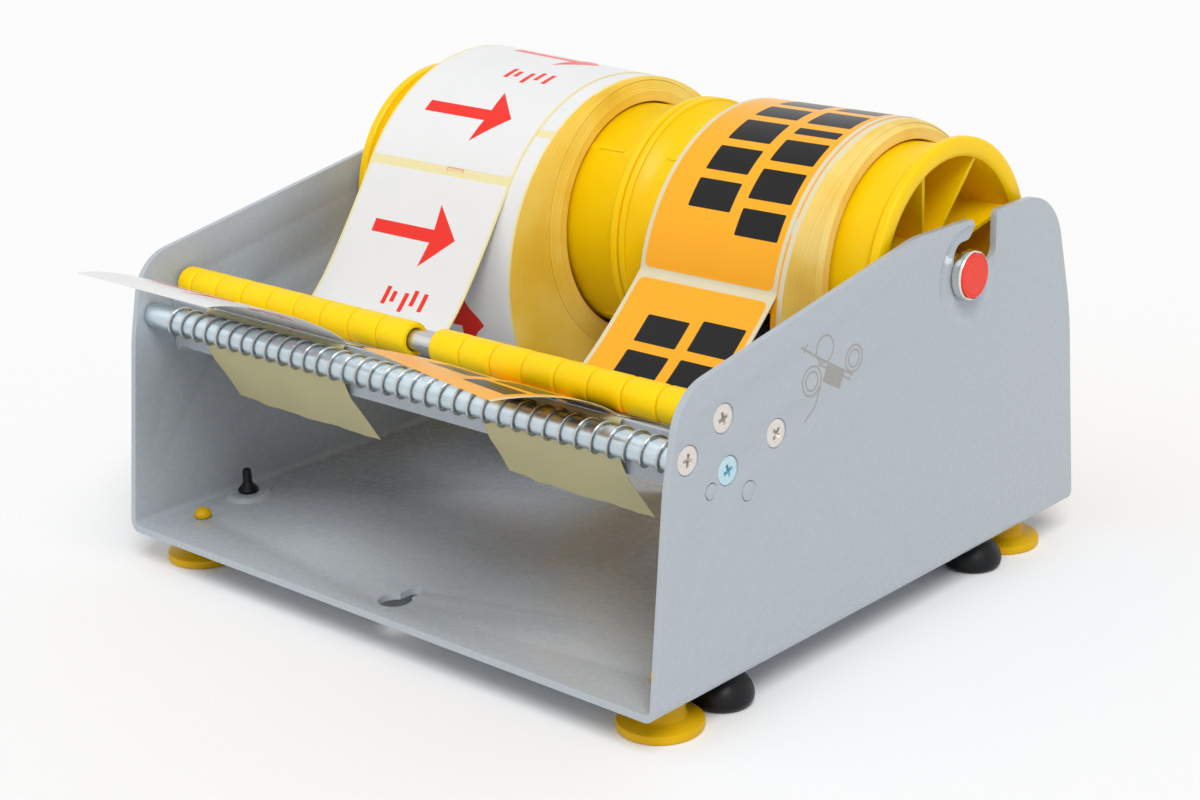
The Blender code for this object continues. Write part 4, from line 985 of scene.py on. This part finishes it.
tubeSizes = {
    "guide_roller_tube": {"name": "guideTube", "inner": 3.2, "outer": 4.0, "place": guide,
                          "body": "guide_roller"},
    "spring_roller_tube": {"name": "springTube", "inner": 2.75, "outer": 3.74,
                           "place": Vector(rodPlaces["spring"]), "body": "spring_roller"},
}
tubeEnds = {"from": 2.6, "to": width - 2.6, "chamfer": 0.2}
tubeFrom, tubeTo, chamfer = tubeEnds["from"], tubeEnds["to"], tubeEnds["chamfer"]
for node, sizes in tubeSizes.items():
    inner, outer = sizes["inner"], sizes["outer"]
    profile = [(tubeFrom + chamfer, inner), (tubeFrom, inner + chamfer), (tubeFrom, outer - chamfer),
               (tubeFrom + chamfer, outer), (tubeTo - chamfer, outer), (tubeTo, outer - chamfer),
               (tubeTo, inner + chamfer), (tubeTo - chamfer, inner)]
    tube = turnPiece(sizes["name"], profile, at(0, *sizes["place"]), 56)
    finishPiece(tube, blueZinc, sizes["body"], [node])

ringSizes = {"count": 8, "row": 11.55, "left": 9.408, "right": 111.3, "first": 3.003, "gap": 0.3,
             "turnStep": 1.3}
ringLength = ringSizes["row"] - ringSizes["gap"]
ringAxis = at(0, *press)


def ringProfile(length):
    # rounded ends, and a small chamfer round the rod
    half = [(0.45, 3.2), (0.0, 3.55), (0.0, 4.2), (0.06, 4.45), (0.25, 4.7), (0.55, 4.87), (1.0, 4.95)]
    return half + [(length - along, radius) for along, radius in reversed(half)]


endRing = turnPiece("leftEndRing", ringProfile(ringSizes["left"] - ringSizes["first"] - ringSizes["gap"]),
                    at(ringSizes["first"], *press), 56)
finishPiece(endRing, ringYellow, "left_press_rings", ["left_end_ring"], 30)
firstRing = turnPiece("ringModel", ringProfile(ringLength), ringAxis, 56)
selectOnly(firstRing)
bpy.ops.object.shade_smooth_by_angle(angle=math.radians(30))
for side in ("left", "right"):
    for k in range(ringSizes["count"]):
        x = ringSizes[side] + k * ringSizes["row"]
        turn = Matrix.Rotation(ringSizes["turnStep"] * k, 4, "X")
        place = Matrix.Translation(ringAxis) @ turn @ Matrix.Translation(-ringAxis)
        place = Matrix.Translation((x / 1000, 0, 0)) @ place
        ring = copyPiece(firstRing, side + "PressRing" + str(k + 1), place)
        ring.data.materials.append(ringYellow)
        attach(ring, side + "_press_rings")
        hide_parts(f"{side}_press_ring_{k + 1}")
bpy.data.objects.remove(firstRing, do_unlink=True)

# spring round its roller: one wire, a circle carried along a screw line
springSizes = {"from": 12.0, "to": 206.4, "curls": 36, "coil": 4.225, "wire": 0.37,
               "wireSides": 12, "stepsPerCurl": 28}
curls, wireSides, curlSteps = springSizes["curls"], springSizes["wireSides"], springSizes["stepsPerCurl"]
pitch = (springSizes["to"] - springSizes["from"]) / curls
springCentre = at(springSizes["from"], *rodPlaces["spring"])
bpy.ops.object.select_all(action="DESELECT")
bpy.ops.mesh.primitive_circle_add(vertices=wireSides, radius=springSizes["wire"] / 1000, fill_type="NOTHING",
                                  location=springCentre + Vector((0, springSizes["coil"] / 1000, 0)))
spring = bpy.context.object
spring.name = "rollerSpring"
bpy.ops.object.transform_apply(location=True, rotation=True, scale=True)
bpy.ops.object.mode_set(mode="EDIT")
bpy.ops.mesh.select_all(action="SELECT")
bpy.ops.mesh.spin(steps=curlSteps * curls, angle=math.tau * curls, center=springCentre, axis=(1, 0, 0),
                  use_auto_merge=False)
bpy.ops.object.mode_set(mode="OBJECT")
form = bmesh.new()
form.from_mesh(spring.data)
for i, vertex in enumerate(form.verts):
    vertex.co.x += pitch / 1000 * (i // wireSides) / curlSteps
ends = [edge for edge in form.edges if len(edge.link_faces) < 2]
bmesh.ops.holes_fill(form, edges=ends, sides=0)
bmesh.ops.recalc_face_normals(form, faces=form.faces)
form.to_mesh(spring.data)
form.free()
finishPiece(spring, springWire, "spring_roller", ["roller_spring"], 60)
print("rods, tubes, rings and spring made")

# peel plate: a bent sheet with a tab at each side, and the dowels that show in the frame's sides
plateSizes = {"sheet": 1.5, "bottom": 54.0, "rear": 42.0, "from": 2.6, "nose": 0.5, "edgeRound": 0.25,
              "tabs": (2.3, 3.8), "tabHole": 1.8, "dowels": (0.08, 3.0),
              "tab": [(21.3, 52.4, 1.2), (21.3, 67.7, 1.0), (41.5, 59.2, 2.0), (41.8, 48.0, 3.0),
                      (35.2, 46.8, 3.0), (24.0, 51.5, 2.0)]}
plateSheet, plateBottom = plateSizes["sheet"], plateSizes["bottom"]
plateUnder = plateTop - upward * plateSheet
peelTop = onLine(plateTop, peelY)
rearTop = onLine(plateTop, plateSizes["rear"])
outerPath = roundCorners([(peelY, plateBottom, 0), (peelTop.x, peelTop.y, plateSizes["nose"]),
                          (rearTop.x, rearTop.y, 0)], False, 12)
innerPath = [rearTop - upward * plateSheet, onLine(plateUnder, peelY + plateSheet),
             Vector((peelY + plateSheet, plateBottom))]
plate = extrudeFlat("peelPlate", outerPath + innerPath, plateSizes["from"], width - plateSizes["from"])
tabLoop = roundCorners(plateSizes["tab"], True, 12)
tabFrom, tabTo = plateSizes["tabs"]
for low, high in ((tabFrom, tabTo), (width - tabTo, width - tabFrom)):
    tab = extrudeFlat("tab", tabLoop, low, high)
    holeLoop = arcPoints(rodPlaces["plate"], plateSizes["tabHole"], 0, 360, 24)[:-1]
    join(tab, extrudeFlat("tabHole", holeLoop, low - 1, high + 1), "DIFFERENCE")
    join(plate, tab)
dowelFrom, dowelTo = plateSizes["dowels"]
for y, z, radius in dowelPlaces:
    for low, high in ((dowelFrom, dowelTo), (width - dowelTo, width - dowelFrom)):
        join(plate, extrudeFlat("dowel", arcPoints((y, z), radius, 0, 360, 36)[:-1], low, high))
roundEdges(plate, plateSizes["edgeRound"], 2, 50)
finishPiece(plate, plateCoat, "frame", ["peel_plate"], 40)

# screws: countersunk heads with a crowned face and a cross recess that narrows as it goes in
screwSizes = {
    "profile": [(0.06, 0), (0.06, 2.6), (0.1, 3.3), (0.22, 3.68), (0.4, 3.74), (2.0, 1.5),
                (9.0, 1.5), (9.0, 0)],
    "bar": (2.6, 4.6, 1.3), "narrow": 0.55,
    "kinds": {"press": ("press_rod", 17, nickel), "guide": ("guide_rod", 48, nickel),
              "spring": ("spring_rod", 79, nickel), "plate": ("peel_plate", 110, screwZinc)},
}
for side, x, way in (("left", 0, 1), ("right", width, -1)):
    for key, (holds, angle, finish) in screwSizes["kinds"].items():
        centre = at(x, *rodPlaces[key])
        screw = turnPiece(side + key.capitalize() + "Screw", facing(screwSizes["profile"], way), centre, 48)
        for turn in (math.radians(angle), math.radians(angle + 90)):
            bpy.ops.object.select_all(action="DESELECT")
            bpy.ops.mesh.primitive_cube_add(size=0.001, location=centre, scale=screwSizes["bar"],
                                            rotation=(turn, 0, 0))
            bar = bpy.context.object
            bpy.ops.object.transform_apply(location=True, rotation=True, scale=True)
            for vertex in bar.data.vertices:
                if (vertex.co.x - centre.x) * way > 0:
                    vertex.co.y = centre.y + (vertex.co.y - centre.y) * screwSizes["narrow"]
                    vertex.co.z = centre.z + (vertex.co.z - centre.z) * screwSizes["narrow"]
            join(screw, bar, "DIFFERENCE")
        finishPiece(screw, finish, "frame", [f"{side}_{holds}_screw"], 28)

# feet and suction cups, as height over the floor's underside and radius
footSizes = {
    "name": "Foot", "node": "foot", "slot": "foot_yellow", "finish": footYellow, "places": footPlaces,
    "profile": [(-10.6, 0), (-10.6, 10.9), (-10.35, 11.35), (-9.9, 11.5), (-8.6, 11.5), (-8.15, 11.35),
                (-7.9, 10.9), (-7.5, 8.2), (-6.9, 7.0), (-6.0, 6.6), (-0.3, 6.5), (-0.3, 2.0), (2.3, 2.0),
                (2.3, 2.45), (2.7, 2.6), (3.6, 2.45), (4.4, 1.9), (4.9, 1.0), (5.0, 0)],
}
cupSizes = {
    "name": "Cup", "node": "suction_cup", "slot": "cup_black", "finish": blackRubber, "places": cupPlaces,
    "profile": [(-4.9, 0), (-5.0, 2.0), (-6.4, 4.0), (-8.2, 6.0), (-9.6, 7.2), (-9.9, 7.6), (-9.85, 8.0),
                (-9.3, 8.45), (-8.3, 8.68), (-7.0, 8.6), (-5.5, 8.1), (-4.1, 7.2), (-2.8, 6.0), (-1.6, 4.9),
                (-0.3, 4.2), (-0.3, 2.1), (3.35, 2.1), (3.35, 2.9), (3.8, 3.2), (4.3, 3.2), (5.0, 2.7),
                (5.9, 1.8), (6.6, 1.45), (10.0, 1.4), (10.7, 1.15), (11.0, 0.7), (11.0, 0)],
}
for end in ("front", "rear"):
    for sizes in (footSizes, cupSizes):
        for side, x in bothSides(sizes["places"]["inset"]):
            centre = at(x, sizes["places"][end], 0)
            support = turnPiece(end + side.capitalize() + sizes["name"], sizes["profile"], centre, 64, True)
            finishPiece(support, sizes["finish"], "frame", [f"{end}_{side}_{sizes['node']}"])
print("small parts made")

# floor, lights and camera
bpy.ops.object.select_all(action="DESELECT")
floorSizes = {"size": 8, "colour": "FBFBFB"}
bpy.ops.mesh.primitive_plane_add(size=floorSizes["size"], location=(0, 0, 0))
floor = bpy.context.object
floor.name = "floor"
floorFinish, tree, shader = newFinish("paleFloor", floorSizes["colour"], 0.9, 0.0, 0.0)
floor.data.materials.append(floorFinish)

# sky is what lights the object; camera, glossy and transmission rays see the backdrop's plain white
lightSizes = {
    "sky": 0.48,
    "keyLight": {"azimuth": 50, "elevation": 52, "power": 1.86, "spread": 30},
    "fillLight": {"azimuth": -40, "elevation": 40, "power": 0.3, "spread": 60},
}
world = bpy.data.worlds.new("studio")
bpy.context.scene.world = world
world.use_nodes = True
tree = world.node_tree
background = tree.nodes["Background"]
rays = addNode(tree, "ShaderNodeLightPath")
seen = addNode(tree, "ShaderNodeMath", {"operation": "MAXIMUM"},
               {0: rays.outputs["Is Camera Ray"], 1: rays.outputs["Is Transmission Ray"]}).outputs[0]
seen = addNode(tree, "ShaderNodeMath", {"operation": "MAXIMUM"},
               {0: seen, 1: rays.outputs["Is Glossy Ray"]}).outputs[0]
strength = addNode(tree, "ShaderNodeMapRange", {},
                   {"Value": seen, "To Min": lightSizes["sky"], "To Max": 1.0})
background.inputs["Color"].default_value = (1, 1, 1, 1)
tree.links.new(strength.outputs[0], background.inputs["Strength"])


def toward(azimuth, elevation):
    # the direction from the object to a lamp or camera, azimuth 0 being straight in front of it
    flat = math.cos(math.radians(elevation))
    azimuth = math.radians(azimuth)
    return Vector((math.sin(azimuth) * flat, -math.cos(azimuth) * flat, math.sin(math.radians(elevation))))


for name in ("keyLight", "fillLight"):
    sizes = lightSizes[name]
    lamp = bpy.data.lights.new(name, "SUN")
    lamp.energy = sizes["power"]
    lamp.angle = math.radians(sizes["spread"])
    holder = bpy.data.objects.new(name, lamp)
    bpy.context.scene.collection.objects.link(holder)
    away = toward(sizes["azimuth"], sizes["elevation"])
    holder.rotation_euler = away.to_track_quat("Z", "Y").to_euler()

# the camera stands where the photograph's did; place is in metres
cameraSizes = {"place": (0.43814, -0.46067, 0.26470), "azimuth": 42.71, "elevation": 18.608,
               "roll": 1.793, "lens": 68.471, "sensor": 36.0, "clip": 0.01}
roll = math.radians(cameraSizes["roll"])
forward = -toward(cameraSizes["azimuth"], cameraSizes["elevation"])
right = forward.cross(Vector((0, 0, 1))).normalized()
down = forward.cross(right)
across = math.cos(roll) * right + math.sin(roll) * down
downward = -math.sin(roll) * right + math.cos(roll) * down
cameraData = bpy.data.cameras.new("camera")
cameraData.lens = cameraSizes["lens"]
cameraData.sensor_width = cameraSizes["sensor"]
cameraData.clip_start = cameraSizes["clip"]
camera = bpy.data.objects.new("camera", cameraData)
bpy.context.scene.collection.objects.link(camera)
rows = Matrix((across, -downward, -forward)).transposed().to_4x4()
camera.matrix_world = Matrix.Translation(cameraSizes["place"]) @ rows
bpy.context.scene.camera = camera
bpy.context.scene.view_settings.view_transform = "Standard"

print("scene made")
